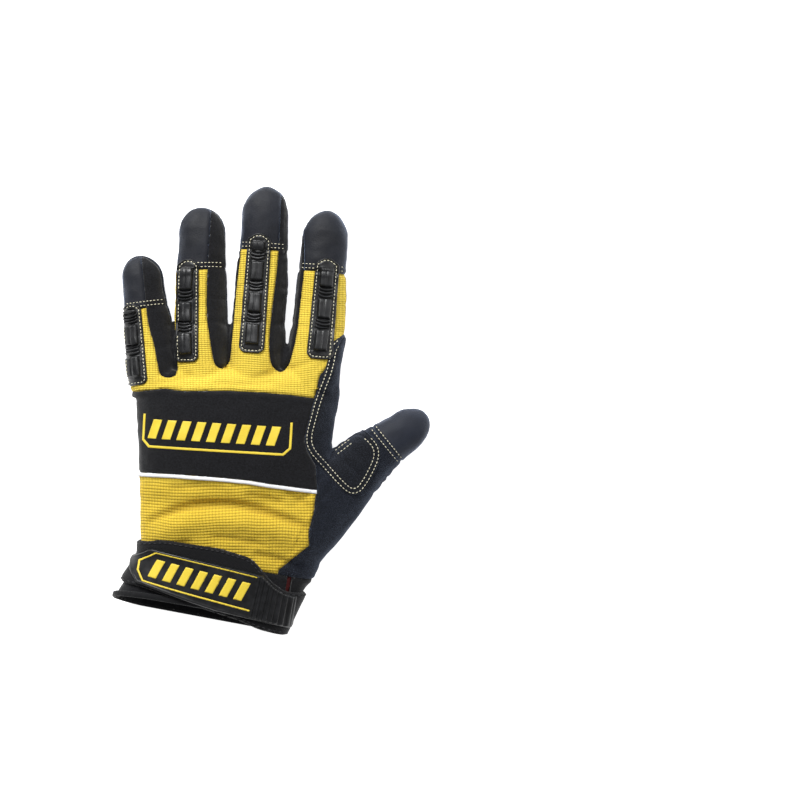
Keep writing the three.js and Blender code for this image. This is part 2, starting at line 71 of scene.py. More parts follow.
STRAP_ANGLE = -14.0
SHIFT = np.array([-19.61, -76.86, 0.0])

# Sizes of the looks
VOXEL = 0.85
FINE_LEVELS = 2
WALL = 1.3
MM = 0.001


def table(names, rows):
    """Rows of numbers as named columns."""
    return dict(zip(names.split(), np.array(rows, float).T))


BODY = table("along aside turn width depth base", [
    (-0.560, -0.275, -11.0, 0.900, 0.960, 0.32),
    (-0.367, -0.197, -10.7, 0.898, 0.960, 0.32),
    (-0.186, -0.107, -6.0, 0.905, 0.920, 0.60),
    (-0.060, -0.032, -4.0, 0.925, 0.900, 1.00),
    (0.100, -0.018, 0.0, 0.950, 0.980, 1.00),
    (0.190, -0.014, 0.0, 0.968, 0.990, 1.00),
    (0.260, -0.010, 0.0, 0.976, 0.945, 1.00),
    (0.340, -0.006, 0.0, 0.984, 0.990, 1.00),
    (0.620, -0.004, 0.0, 0.996, 1.020, 1.00),
    (0.840, 0.003, 0.0, 1.038, 0.940, 1.00),
    (0.930, 0.000, 0.0, 1.050, 0.860, 1.00),
    (1.000, 0.000, 0.0, 1.020, 0.620, 1.60),
])
FINGER = table("along width depth base bow", [
    (0.00, 0.980, 1.28, 1.0, 0.0),
    (0.30, 1.070, 1.12, 1.0, 0.7),
    (0.46, 1.040, 1.06, 0.3, 1.0),
    (0.63, 1.000, 1.00, 0.0, 1.0),
    (0.82, 0.935, 0.95, 0.0, 0.5),
    (1.00, 0.905, 0.90, 0.0, 0.0),
])
THUMB = table("along width depth base bow", [
    (0.00, 1.75, 1.30, 1.0, 0.0),
    (0.24, 1.62, 1.30, 1.0, 0.0),
    (0.49, 1.26, 1.20, 0.7, 0.2),
    (0.71, 1.02, 1.06, 0.0, 0.8),
    (0.91, 0.82, 0.94, 0.0, 1.0),
    (1.00, 0.76, 0.88, 0.0, 0.7),
])


class Digit:
    """One finger or the thumb: its root, direction and sizes."""

    def __init__(self, name, across, along, length, width, depth, lean, bow, cap, under, rows):
        self.name, self.length, self.width, self.depth = name, length, width, depth
        self.bow, self.cap, self.under, self.rows = bow, cap, under, rows
        lean = math.radians(lean)
        self.root = np.array([across * HAND_WIDTH, along * HAND_LENGTH])
        self.forward = np.array([math.sin(lean), math.cos(lean)])
        self.sideways = np.array([math.cos(lean), -math.sin(lean)])
        self.straight = 1 - 0.55 * width / length

    def at(self, share):
        """Centre, half width, depth and base of the digit at shares of its length."""
        share = np.atleast_1d(np.asarray(share, float))
        along = np.clip(share / self.straight, 0, 1)
        dome = np.clip((share - self.straight) / (1 - self.straight), 0, 0.985)
        rounding = np.sqrt(1 - dome**2)
        bow = sample(self.rows, "bow", along) * self.bow
        centre = self.root + np.outer(share * self.length, self.forward) + np.outer(bow, self.sideways)
        half = sample(self.rows, "width", along) * self.width * rounding / 2
        depth = sample(self.rows, "depth", along) * self.depth
        base = sample(self.rows, "base", along) * (PAD + GAP)
        return centre, half, depth, base, rounding

    def point(self, share, across):
        """A point on the digit, across being a share of its half width there."""
        centre, half, *_ = self.at(min(share, 1.0))
        half = max(half[0], self.width * 0.42)
        beyond = max(share - 1, 0) * self.length
        return centre[0] + self.sideways * across * half + self.forward * beyond

    def local(self, p):
        """How far points lie along the digit and across it, in millimetres."""
        rel = p[:, :2] - self.root
        u = rel @ self.forward
        bow = sample(self.rows, "bow", np.clip(u / self.length / self.straight, 0, 1)) * self.bow
        return u, rel @ self.sideways - bow


def sample(rows, key, t):
    """A column between its rows, on one smooth curve through them."""
    x, v = rows["along"], rows[key]
    t = np.asarray(t, float)
    i = np.clip(np.searchsorted(x, t, side="right") - 1, 0, len(x) - 2)
    a, d = np.maximum(i - 1, 0), np.minimum(i + 2, len(x) - 1)
    span = x[i + 1] - x[i]
    u = np.clip((t - x[i]) / span, 0, 1)
    slope_b = (v[i + 1] - v[a]) / (x[i + 1] - x[a]) * span
    slope_c = (v[d] - v[i]) / (x[d] - x[i]) * span
    u2, u3 = u * u, u * u * u
    return ((2 * u3 - 3 * u2 + 1) * v[i] + (u3 - 2 * u2 + u) * slope_b
            + (3 * u2 - 2 * u3) * v[i + 1] + (u3 - u2) * slope_c)


# The fingers' tip caps, the last length in each row, reach 2 to 3 mm further down than their solids
little = Digit("little", -0.421, 0.862, 77.0, 25.3, 17.5, -6.9, 0.9, 29.3, False, FINGER)
ring = Digit("ring", -0.172, 0.889, 101.0, 28.2, 19.5, -0.6, -0.9, 35.0, False, FINGER)
middle = Digit("middle", 0.093, 0.889, 112.4, 28.4, 20.0, 3.5, 0.3, 35.5, True, FINGER)
index = Digit("index", 0.390, 0.889, 99.0, 27.8, 19.5, 5.2, 0.3, 34.0, True, FINGER)
thumb = Digit("thumb", 0.151, 0.011, 115.6, 30.5, 21.0, 51.0, -2.4, 27.5, True, THUMB)
DIGITS = [little, ring, middle, index, thumb]


# Outlines of the panels, as in the CAD source: shares of the hand, or of a digit
def on_hand(points):
    return np.array(points, float) * (HAND_WIDTH, HAND_LENGTH)


SEAMS = {
    "little_inner": (little, [(0.15, 0.34), (0.37, 0.18), (0.45, 0.07), (0.6, 0.03), (0.79, 0.14),
                              (1.06, 0.14)]),
    "ring_outer": (ring, [(0.09, -0.94), (0.2, -0.89), (0.33, -0.97), (0.49, -1.08), (1.06, -1.35)]),
    "ring_inner": (ring, [(0.16, 0.49), (0.26, 0.39), (0.41, 0.26), (0.65, 0.31), (0.9, 0.46),
                          (1.06, 0.5)]),
    "middle_outer": (middle, [(0.14, -0.97), (0.25, -0.92), (0.53, -0.95), (0.69, -0.92),
                              (0.76, -1.05), (1.06, -1.35)]),
    "middle_inner": (middle, [(0.15, 0.58), (0.23, 0.48), (0.34, 0.48), (0.54, 0.6), (0.69, 0.7),
                              (1.06, 0.72)]),
    "index_outer": (index, [(0.15, -0.91), (0.28, -0.74), (0.49, -0.77), (0.64, -0.77),
                            (0.78, -0.88), (1.06, -1.35)]),
}
STRIPS = {
    "side_strip_little_ring": ("little_inner", "ring_outer", 2.2),
    "side_strip_ring_middle": ("ring_inner", "middle_outer", 4.5),
    "side_strip_middle_index": ("middle_inner", "index_outer", 6.0),
}
BAND_TOP = [(-0.7, 0.875), (-0.503, 0.879), (-0.363, 0.897), (-0.259, 0.882), (-0.017, 0.883),
            (0.155, 0.874), (0.284, 0.861), (0.413, 0.842)]
BAND_BOTTOM = [(-0.7, 0.435), (-0.497, 0.432), (-0.31, 0.424), (-0.09, 0.408), (0.08, 0.39),
               (0.17, 0.373), (0.425, 0.335)]
BAND_EDGE = [(0.4, 0.79), (0.364, 0.622), (0.375, 0.556), (0.42, 0.47)]
KNIT_EDGE = [(0.439, 0.967), (0.486, 1.022), (0.507, 1.094), (0.56, 1.19), (0.66, 1.24)]
WRIST_EDGE = [(0.417, 0.29), (0.408, 0.21), (0.382, 0.11), (0.386, 0.03), (0.231, -0.1)]
OVERLAY = [(0.6, 1.24), (0.55, 1.189), (0.49, 1.144), (0.472, 1.01), (0.415, 0.856), (0.384, 0.733),
           (0.358, 0.622), (0.374, 0.55), (0.436, 0.472), (0.545, 0.344), (0.592, 0.306),
           (0.643, 0.311), (0.685, 0.361), (0.734, 0.461), (0.755, 0.528), (0.742, 0.592),
           (0.7, 0.639), (0.66, 0.67), (0.58, 0.66), (0.6, 0.9)]
KNUCKLE_PAD = [(0.402, 0.739), (0.432, 0.817), (0.436, 1.075), (0.405, 1.111), (0.375, 1.102),
               (0.345, 1.028), (0.293, 0.988), (0.25, 0.992), (0.207, 1.067), (0.163, 1.135),
               (0.124, 1.102), (0.094, 1.039), (0.042, 1.011), (-0.019, 1.043), (-0.061, 1.089),
               (-0.096, 1.093), (-0.122, 1.061), (-0.147, 1.001), (-0.216, 0.956), (-0.268, 0.983),
               (-0.311, 1.047), (-0.354, 1.068), (-0.389, 1.047), (-0.414, 0.964), (-0.419, 0.817),
               (-0.414, 0.679), (-0.397, 0.642), (-0.354, 0.647), (-0.233, 0.697), (-0.104, 0.78),
               (0.016, 0.819), (0.154, 0.808), (0.283, 0.771), (0.36, 0.743)]
THENAR_PAD = [(0.402, 0.614), (0.293, 0.647), (0.096, 0.669), (0.079, 0.651), (0.027, 0.541),
              (-0.016, 0.43), (-0.037, 0.311), (-0.042, 0.191), (-0.016, 0.122), (0.027, 0.112),
              (0.122, 0.131), (0.225, 0.15), (0.251, 0.182), (0.293, 0.311), (0.337, 0.448),
              (0.389, 0.578)]
HEEL_PAD = [(-0.089, 0.642), (-0.12, 0.656), (-0.154, 0.651), (-0.275, 0.596), (-0.385, 0.513),
            (-0.4, 0.45), (-0.388, 0.357), (-0.353, 0.218), (-0.31, 0.117), (-0.267, 0.052),
            (-0.224, 0.043), (-0.172, 0.062), (-0.151, 0.126), (-0.155, 0.264), (-0.129, 0.403),
            (-0.094, 0.522)]
STRAP = [(-0.7, 0.09), (-0.46, 0.055), (-0.363, 0.067), (-0.073, 0.022), (0.089, -0.033),
         (0.135, -0.089), (0.187, -0.162), (0.26, -0.222), (0.5, -0.24), (0.4, -0.5),
         (0.229, -0.463), (0.12, -0.428), (0.026, -0.378), (-0.228, -0.289), (-0.467, -0.2),
         (-0.7, -0.15)]
SLIT = [(0.31, 0.1), (0.33, 0.1), (0.235, -0.6), (0.2, -0.6)]
GUARDS = table("start end middle width", [
    (0.080, 0.665, -0.66, 0.50),
    (0.150, 0.712, -0.50, 0.46),
    (0.178, 0.764, -0.14, 0.49),
    (0.172, 0.735, 0.20, 0.50),
])


def rounded(points, times=2, most=None):
    """A closed outline with its corners cut, by a quarter of an edge or the given length at most."""
    points = np.asarray(points, float)
    for _ in range(times):
        ends = np.roll(points, -1, axis=0)
        length = np.linalg.norm(ends - points, axis=1, keepdims=True)
        cut = np.full_like(length, 0.25) if most is None else np.minimum(0.25, most / length)
        off = (ends - points) * cut
        points = np.stack([points + off, ends - off], axis=1).reshape(-1, 2)
    return points


def inside(outline):
    """The signed distance to a closed outline, positive inside it."""
    a = np.asarray(outline, float)
    b = np.roll(a, -1, axis=0)
    edge = b - a

    def field(p):
        out = np.empty(len(p))
        for start in range(0, len(p), 20000):
            q = p[start:start + 20000, :2]
            rel = q[:, None] - a
            t = np.clip((rel * edge).sum(2) / (edge**2).sum(1), 0, 1)
            dist = np.linalg.norm(rel - t[..., None] * edge, axis=2).min(1)
            crosses = (a[:, 1] > q[:, None, 1]) != (b[:, 1] > q[:, None, 1])
            rise = np.where(edge[:, 1] == 0, 1e-9, edge[:, 1])
            x = a[:, 0] + (q[:, None, 1] - a[:, 1]) / rise * edge[:, 0]
            odd = (crosses & (q[:, None, 0] < x)).sum(1) % 2
            out[start:start + 20000] = np.where(odd == 1, dist, -dist)
        return out

    return field


def beyond(point, angle, rake=0.0):
    """The signed distance above a slanted line on the hand, its plane tipped by a rake."""
    a = math.radians(angle)
    normal = np.array([-math.sin(a) * math.cos(rake), math.cos(a) * math.cos(rake), -math.sin(rake)])
    origin = np.array([point[0], point[1], 0.0])
    return lambda p: (p - origin) @ normal


def strip_outline(name):
    left, right, dip = STRIPS[name]
    up = [SEAMS[left][0].point(*s) for s in SEAMS[left][1]]
    down = [SEAMS[right][0].point(*s) for s in SEAMS[right][1]][::-1]
    ends = down[-1], up[0]
    web = [ends[0] * (1 - t) + ends[1] * t - (0, dip * math.sin(math.pi * t) ** 0.6)
           for t in (0.08, 0.2, 0.35, 0.5, 0.65, 0.8, 0.92)]
    return np.array([*up, *down, *web])


def cap_outline(digit):
    line = 1 - digit.cap / digit.length
    return np.array([digit.point(*s) for s in ((line, 1.35), (line, -1.35), (1.15, -1.6), (1.15, 1.6))])


wrist_seam = beyond(on_hand([(-0.45, 0.005)])[0], WRIST_SEAM_ANGLE)
hem = beyond(on_hand([(-0.197, -0.372)])[0], HEM_ANGLE, math.atan2(HEM_RAKE, HAND_DEPTH))


# Meshes in numpy: points in hand millimetres and faces as rows of indices
def loft(rings):
    """A closed grid of quads through rings, shape (rings, sides, 3), with a fan at each end."""
    count, sides = rings.shape[:2]
    index = np.arange(count * sides).reshape(count, sides)
    a, b = index[:-1], np.roll(index, -1, axis=1)[:-1]
    c, d = np.roll(index, -1, axis=1)[1:], index[1:]
    quads = np.stack([a, d, c, b], 2).reshape(-1, 4)
    return rings.reshape(-1, 3), [*quads.tolist(), index[0].tolist(), index[-1][::-1].tolist()]


def oval_rings(centre, turn, half, depth, base, sides, squareness):
    angle = 2 * math.pi * (np.arange(sides) + 0.5) / sides
    power = lambda v: np.sign(v) * np.abs(v) ** (2 / squareness)
    side = half[:, None] * power(np.cos(angle))
    rise = np.maximum(power(np.sin(angle)), -FLAT_BELOW)
    up = base[:, None] + depth[:, None] * (rise + FLAT_BELOW) / (1 + FLAT_BELOW)
    x = centre[:, :1] + side * np.cos(turn)[:, None]
    y = centre[:, 1:] + side * np.sin(turn)[:, None]
    return np.stack([x, y, up], 2)


def body_rings(along, grow=0.0, sides=96):
    centre = np.stack([sample(BODY, "aside", along) * HAND_WIDTH, along * HAND_LENGTH], 1)
    return oval_rings(centre, np.radians(sample(BODY, "turn", along)),
                      sample(BODY, "width", along) * HAND_WIDTH / 2 + grow,
                      sample(BODY, "depth", along) * HAND_DEPTH + 2 * grow,
                      sample(BODY, "base", along) * (PAD + GAP) - grow, sides, 2.35)


def digit_rings(digit):
    dome = np.sin(np.radians([15, 30, 43, 54, 63, 71, 78, 84]))
    share = np.r_[np.linspace(0, digit.straight, 48), digit.straight + dome * (1 - digit.straight)]
    centre, half, depth, base, rounding = digit.at(share)
    turn = np.full(len(share), math.atan2(digit.sideways[1], digit.sideways[0]))
    return oval_rings(centre, turn, half, depth * rounding, base + depth * (1 - rounding) / 2, 48, 2.2)


def raw_object(name, points, faces):
    mesh = bpy.data.meshes.new(name)
    mesh.from_pydata((np.asarray(points) * MM).tolist(), [], [list(f) for f in faces])
    made = bpy.data.objects.new(name, mesh)
    bpy.context.scene.collection.objects.link(made)
    return made


def arrays(mesh):
    """A mesh's points in millimetres and its quads."""
    points = np.empty(len(mesh.vertices) * 3)
    mesh.vertices.foreach_get("co", points)
    sizes = np.empty(len(mesh.polygons), int)
    mesh.polygons.foreach_get("loop_total", sizes)
    corners = np.empty(len(mesh.loops), int)
    mesh.loops.foreach_get("vertex_index", corners)
    keep = np.repeat(sizes == 4, sizes)
    return points.reshape(-1, 3) / MM, corners[keep].reshape(-1, 4)


def through(points, faces, kind, **settings):
    """Points and quads after one modifier."""
    source = raw_object("scratch", points, faces)
    modifier = source.modifiers.new("scratch", kind)
    for key, value in settings.items():
        setattr(modifier, key, value)
    depsgraph = bpy.context.evaluated_depsgraph_get()
    made = bpy.data.meshes.new_from_object(source.evaluated_get(depsgraph), depsgraph=depsgraph)
    result = arrays(made)
    bpy.data.meshes.remove(made)
    old = source.data
    bpy.data.objects.remove(source)
    bpy.data.meshes.remove(old)
    return result


def neighbours(quads, count):
    edges = np.concatenate([quads[:, [i, (i + 1) % quads.shape[1]]] for i in range(quads.shape[1])])
    edges = np.unique(np.sort(edges, axis=1), axis=0)
    degree = np.bincount(edges.ravel(), minlength=count).astype(float)
    return edges, np.maximum(degree, 1)


def averaged(values, edges, degree):
    """Each point's value as the mean of its neighbours'."""
    out = np.empty_like(values)
    for k in range(values.shape[1]):
        out[:, k] = (np.bincount(edges[:, 0], values[edges[:, 1], k], len(values))
                     + np.bincount(edges[:, 1], values[edges[:, 0], k], len(values)))
    return out / degree[:, None]


def smoothed(points, quads, times):
    edges, degree = neighbours(quads, len(points))
    for _ in range(times):
        for amount in (0.5, -0.52):
            points = points + amount * (averaged(points, edges, degree) - points)
    return points


def normals_of(points, faces):
    a, c = points[faces[:, 2]] - points[faces[:, 0]], points[faces[:, -1]] - points[faces[:, 1]]
    if faces.shape[1] == 3:
        a, c = points[faces[:, 1]] - points[faces[:, 0]], points[faces[:, 2]] - points[faces[:, 0]]
    flat = np.cross(a, c)
    out = np.zeros_like(points)
    for k in range(3):
        for corner in range(faces.shape[1]):
            out[:, k] += np.bincount(faces[:, corner], flat[:, k], len(points))
    return out / np.maximum(np.linalg.norm(out, axis=1), 1e-12)[:, None]


def gradient(field, points, step=0.05):
    out = np.empty_like(points)
    for k in range(3):
        off = np.zeros(3)
        off[k] = step
        out[:, k] = (field(points + off) - field(points - off)) / (2 * step)
    return out


def snap(points, normals, field, reach, where=None):
    """Moves the points nearest to a field's border onto it, along the surface, and gives each
    point's side: 1 inside, -1 outside and 0 on the border."""
    distance = field(points)
    near = np.abs(distance) < reach
    if where is not None:
        near &= where
    picked = np.flatnonzero(near)

    def slope(chosen):
        g, n = gradient(field, points[chosen]), normals[chosen]
        return g - (g * n).sum(1)[:, None] * n

    steepness = np.linalg.norm(slope(picked), axis=1)
    picked = picked[np.abs(distance[picked]) < reach * np.maximum(steepness, 0.15)]
    for _ in range(3):
        along = slope(picked)
        size = np.maximum((along**2).sum(1), 0.03)
        move = -(field(points[picked]) / size)[:, None] * along
        length = np.maximum(np.linalg.norm(move, axis=1), 1e-9)
        points[picked] += move * np.minimum(1, 1.5 * reach / length)[:, None]
    side = np.sign(field(points))
    side[picked] = 0
    return side


def split(quads, sides):
    """Quads as triangles, cut so that no triangle lies on both sides of a border."""
    bad = np.zeros(len(quads), bool)
    for side in sides:
        bad |= side[quads[:, 0]] * side[quads[:, 2]] < 0
    first = np.where(bad[:, None], quads[:, [0, 1, 3]], quads[:, [0, 1, 2]])
    second = np.where(bad[:, None], quads[:, [1, 2, 3]], quads[:, [0, 2, 3]])
    return np.concatenate([first, second])


def side_of(triangles, side, field, points):
    """Whether each triangle lies on a border's inner side."""
    total = side[triangles].sum(1)
    centres = points[triangles].mean(1)
    return np.where(total == 0, field(centres) > 0, total > 0)


def thinned(piece, share):
    """Keeps a share of a piece's triangles, most of them where its surface bends."""
    modifier = piece.modifiers.new("thin", "DECIMATE")
    modifier.ratio = share
    depsgraph = bpy.context.evaluated_depsgraph_get()
    mesh = bpy.data.meshes.new_from_object(piece.evaluated_get(depsgraph), depsgraph=depsgraph)
    piece.modifiers.remove(modifier)
    old, piece.data = piece.data, mesh
    bpy.data.meshes.remove(old)


def sheet(name, points, normals, triangles, up, down, material, shade_marks=None, share=1.0):
    """A closed sheet between two offsets of a surface, joined round its border. The marks give how much
    painted shade each point's colour gets, and share how many of the triangles are kept."""
    used, triangles = np.unique(triangles, return_inverse=True)
    triangles = triangles.reshape(-1, 3)
    points, normals = points[used], normals[used]
    up = np.broadcast_to(up, len(normals) if np.ndim(up) == 0 else np.shape(up))
    down = np.broadcast_to(down, len(normals) if np.ndim(down) == 0 else np.shape(down))
    up = up if len(up) == len(used) else up[used]
    down = down if len(down) == len(used) else down[used]
    edges = np.concatenate([triangles[:, [0, 1]], triangles[:, [1, 2]], triangles[:, [2, 0]]])
    key = edges[:, 0].astype(np.int64) * len(points) + edges[:, 1]
    back = edges[:, 1].astype(np.int64) * len(points) + edges[:, 0]
    rim = edges[~np.isin(key, back)]
    both = np.concatenate([points + normals * up[:, None], points + normals * down[:, None]])
    both[:, 2] = np.maximum(both[:, 2], 0)
    n = len(points)
    walls = np.stack([rim[:, 1], rim[:, 0], rim[:, 0] + n, rim[:, 1] + n], 1)
    faces = [*triangles.tolist(), *(triangles[:, ::-1] + n).tolist(), *walls.tolist()]
    made = raw_object(name, both + SHIFT, faces)
    made.data.materials.append(material)
    smooth = np.ones(len(faces), bool)
    smooth[len(faces) - len(walls):] = False
    made.data.polygons.foreach_set("use_smooth", smooth)
    # The marks are stored for the materials, which paint shade into the colour by them
    if shade_marks is not None:
        kept = made.data.attributes.new("sunk", "FLOAT", "POINT")
        kept.data.foreach_set("value", np.tile(shade_marks[used], 2))
    if share < 1:
        thinned(made, share)
    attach(made, "root")
    return made


# The cloth between the roots of two fingers, as an egg: its middle and half sizes
WEBS = table("x y z wide long high", [
    (27.7, 103.5, 11.0, 4.6, 9.5, 7.0),
])


def web_rings(k):
    u = np.linspace(-0.98, 0.98, 16)
    across = np.sqrt(1 - u**2)
    centre = np.stack([np.full(16, WEBS["x"][k]), WEBS["y"][k] + u * WEBS["long"][k]], 1)
    high = WEBS["high"][k] * across
    return oval_rings(centre, np.zeros(16), WEBS["wide"][k] * across, 2 * high, WEBS["z"][k] - high, 24, 2.0)


# The glove's skin: the lofts of the hand and its digits joined, smoothed and creased
def skin_surface():
    parts = [loft(body_rings(np.linspace(-0.56, 1.0, 110)))] + [loft(digit_rings(d)) for d in DIGITS]
    parts += [loft(web_rings(k)) for k in range(len(WEBS["x"]))]
    points, faces, start = [], [], 0
    for p, f in parts:
        points.append(p)
        faces.extend([[i + start for i in face] for face in f])
        start += len(p)
    points, quads = through(np.concatenate(points), faces, "REMESH", mode="VOXEL", voxel_size=VOXEL * MM)
    return smoothed(points, quads, 9), quads


def bump(value, centre, width):
    return np.exp(-(((value - centre) / width) ** 2))


# Folds pressed into the cloth: a line on the hand in mm, how far it sinks or swells, its width, and
# whether it lies on the back, 1, or on the palm, -1
FOLDS = [
    ([(-48, 15.5), (-36, 22), (-20, 25.7), (1, 26), (20, 21.5), (40, 13)], -2.5, 2.3, 1),
    ([(-44, 8), (-28, 15), (-8, 17.5), (14, 14.5), (34, 6)], 1.8, 5.5, 1),
    ([(-47, -2), (-36, 2.5), (-22, 5.5)], -1.1, 2.0, 1),
    ([(-14, 8), (2, 7), (18, 3)], -0.9, 1.9, 1),
    ([(10, -1), (24, -4), (37, -9)], -1.2, 2.1, 1),
    ([(-36, 34), (-20, 35.5), (-4, 34)], -0.8, 2.3, 1),
    ([(6, 31), (16, 29.5), (27, 26)], -0.7, 2.0, 1),
    ([(8, 95), (24, 97.5), (43, 104)], -0.8, 1.8, 1),
    ([(-47, 90), (-34, 94), (-22, 97)], -0.7, 1.8, 1),
    ([(-12, 92), (6, 91), (24, 93)], -0.5, 1.6, 1),
    ([(28, 32), (42, 24)], -0.7, 2.0, 1),
    ([(40, 20), (56, 40)], -0.7, 2.2, 1),
    ([(36, 8), (50, 26)], -0.6, 2.0, 1),
    ([(60, 30), (68, 45)], -0.5, 1.8, 1),
    ([(70, 40), (78, 54)], -0.5, 1.8, 1),
    ([(38, 62), (46, 56)], -0.6, 1.9, 1),
    ([(-46, 60), (-40, 74)], -0.5, 2.4, 1),
    ([(44, 52), (50, 59), (56, 64)], -0.9, 1.8, -1),
    ([(40, 40), (50, 46), (60, 50)], -0.9, 2.2, -1),
    ([(46, 30), (64, 36)], -0.7, 2.2, -1),
    ([(-30, 0), (20, -4)], -0.8, 2.2, -1),
    ([(-50, 20), (-44, 50)], -0.6, 2.4, -1),
    ([(0, 70), (6, 12)], -0.5, 2.6, -1),
]
# Creases across the digits, at shares of their length
CREASES = table("digit share high width", [
    (0, 0.34, -0.35, 1.6), (0, 0.62, -0.35, 1.4),
    (1, 0.36, -0.4, 1.6), (1, 0.67, -0.35, 1.4), (1, 0.5, -0.2, 1.2),
    (2, 0.33, -0.4, 1.6), (2, 0.66, -0.35, 1.4), (2, 0.5, -0.25, 1.2),
    (3, 0.34, -0.4, 1.6), (3, 0.66, -0.35, 1.4), (3, 0.5, -0.25, 1.2),
    (4, 0.56, -0.5, 1.6), (4, 0.62, -0.4, 1.3), (4, 0.7, -0.35, 1.5),
])


def smooth_line(points, times=3):
    """An open line with its corners cut."""
    points = np.array(points, float)
    for _ in range(times):
        cut = np.stack([0.75 * points[:-1] + 0.25 * points[1:], 0.25 * points[:-1] + 0.75 * points[1:]], 1)
        points = np.concatenate([points[:1], cut.reshape(-1, 2), points[-1:]])
    return points


def from_line(places, line):
    """How far places lie from a line, and at what share of its length."""
    best = np.full(len(places), np.inf)
    share = np.zeros(len(places))
    lengths = np.linalg.norm(np.diff(line, axis=0), axis=1)
    start = 0.0
    for a, b, length in zip(line[:-1], line[1:], lengths):
        t = np.clip((places - a) @ (b - a) / length**2, 0, 1)
        away = np.linalg.norm(places - a - t[:, None] * (b - a), axis=1)
        nearer = away < best
        best = np.where(nearer, away, best)
        share = np.where(nearer, (start + t * length) / lengths.sum(), share)
        start += length
    return best, share


def creased(points, normals):
    """The skin with its folds, creases and the cloth's own unevenness, and how deep in a fold each point
    lies, which later sets how much shade is painted into its colour."""
    high = np.zeros(len(points))
    for line, deep, width, top in FOLDS:
        away, share = from_line(points[:, :2], smooth_line(line))
        ends = np.sqrt(np.clip(np.minimum(share, 1 - share) * 6, 0, 1))
        facing = np.clip(normals[:, 2] * top * 2, 0, 1)
        high += deep * bump(away, 0, width) * facing * ends
    for k in range(len(CREASES["digit"])):
        digit = DIGITS[int(CREASES["digit"][k])]
        u, v = digit.local(points)
        sway = 0.9 * np.sin(v * 0.35 + k)
        near = bump(u + sway, CREASES["share"][k] * digit.length, CREASES["width"][k])
        high += CREASES["high"][k] * near * (np.abs(v) < digit.width * 0.7)
    # How deep in a fold each point lies, kept to paint shade into the cloth's colour there
    sunk = np.clip(-high / 2.6, 0, 1)
    loose = np.array([noise.noise(Vector(p)) for p in (points * (0.055, 0.055, 0.09)).tolist()])
    small = np.array([noise.noise(Vector(p)) for p in (points * (0.16, 0.2, 0.2) + 50).tolist()])
    high += 0.9 * loose + 0.28 * small
    under = np.clip((normals[:, 2] + 0.5) * 4, 0.12, 1)
    return points + normals * (high * under)[:, None], sunk


points, quads = skin_surface()
normals = normals_of(points, quads)
points, sunk = creased(points, normals)
normals = normals_of(points, quads)

# The coarse cloth on the thumb side of the palm's heel, in hand millimetres
PALM_SIDE = [(83, 40), (68, 31), (55.5, 24.5), (46.5, 5), (39, -16), (60, -30), (110, 20)]

FIELDS = {name: inside(rounded(strip_outline(name), 1)) for name in STRIPS}
FIELDS |= {"cap_" + d.name: inside(cap_outline(d)) for d in DIGITS}
FIELDS |= {
    "knit": inside(on_hand([*BAND_TOP, *KNIT_EDGE, (0.66, 3), (-0.7, 3)])),
    "band": inside(on_hand([*BAND_TOP, *BAND_EDGE, *BAND_BOTTOM[::-1]])),
    "wrist": inside(on_hand([*BAND_BOTTOM, *WRIST_EDGE, (0.1, -0.6), (-0.7, -0.6)])),
    "slit": inside(on_hand(SLIT)),
    "side": inside(PALM_SIDE),
    "hand": wrist_seam,
    "kept": hem,
    "top": lambda p: p[:, 2] - SEAM_HEIGHT,
}
reach = VOXEL * 0.56
upper = points[:, 2] > SEAM_HEIGHT - reach
capped = {"cap_" + d.name for d in DIGITS if d.under}
sides = {}
for name, field in FIELDS.items():
    where = None if name in capped | {"hand", "kept", "top"} else upper
    where = ~upper if name == "side" else where
    sides[name] = snap(points, normals, field, reach, where)
triangles = split(quads, list(sides.values()))
in_field = {name: side_of(triangles, sides[name], FIELDS[name], points) for name in FIELDS}

# Which panel each triangle of the skin belongs to
CAPS = {"cap_" + d.name: ("thumb_tip" if d is thumb else "fingertip_" + d.name) for d in DIGITS}
PANELS = ["none", "cuff", "palm", "palm_side", "thumb_back", "knit_knuckles", "knit_wrist",
          "knuckle_band", *STRIPS, *CAPS.values()]
label = np.full(len(triangles), PANELS.index("thumb_back"))
label[in_field["wrist"]] = PANELS.index("knit_wrist")
label[in_field["knit"]] = PANELS.index("knit_knuckles")
label[in_field["band"]] = PANELS.index("knuckle_band")
for name, panel in CAPS.items():
    label[in_field[name]] = PANELS.index(panel)
for name in STRIPS:
    label[in_field[name]] = PANELS.index(name)
label[~in_field["top"]] = PANELS.index("palm")
label[~in_field["top"] & in_field["side"]] = PANELS.index("palm_side")
for name in capped:
    label[in_field[name] & ~in_field["top"]] = PANELS.index(CAPS[name])
label[~in_field["hand"]] = PANELS.index("cuff")
label[~in_field["hand"] & in_field["slit"] & in_field["top"]] = 0
label[~in_field["kept"]] = 0

# Seams pull the skin in along every border between two panels
shown = label > 0
low = np.full(len(points), len(PANELS))
high = np.zeros(len(points), int)
for corner in range(3):
    np.minimum.at(low, triangles[shown, corner], label[shown])
    np.maximum.at(high, triangles[shown, corner], label[shown])
seam = np.flatnonzero(low < high)
tree = KDTree(len(seam))
for i, p in enumerate(points[seam].tolist()):
    tree.insert(p, i)
tree.balance()
apart = np.array([tree.find(p)[2] for p in points.tolist()])
normals = normals_of(points, triangles)
lift = -0.55 * bump(apart, 0, 0.8) + 0.22 * bump(apart, 2.0, 1.2)
# Shade is also painted into the seam grooves, by the same marks as in the folds
sunk = np.maximum(sunk, 0.6 * bump(apart, 0, 0.8))
floor = np.clip((points[:, 2] - 0.6) / 1.2, 0, 1)
points = points + normals * (lift * np.where(normals[:, 2] < -0.4, floor, 1))[:, None]
points[:, 2] = np.maximum(points[:, 2], 0.02)
normals = normals_of(points, triangles)


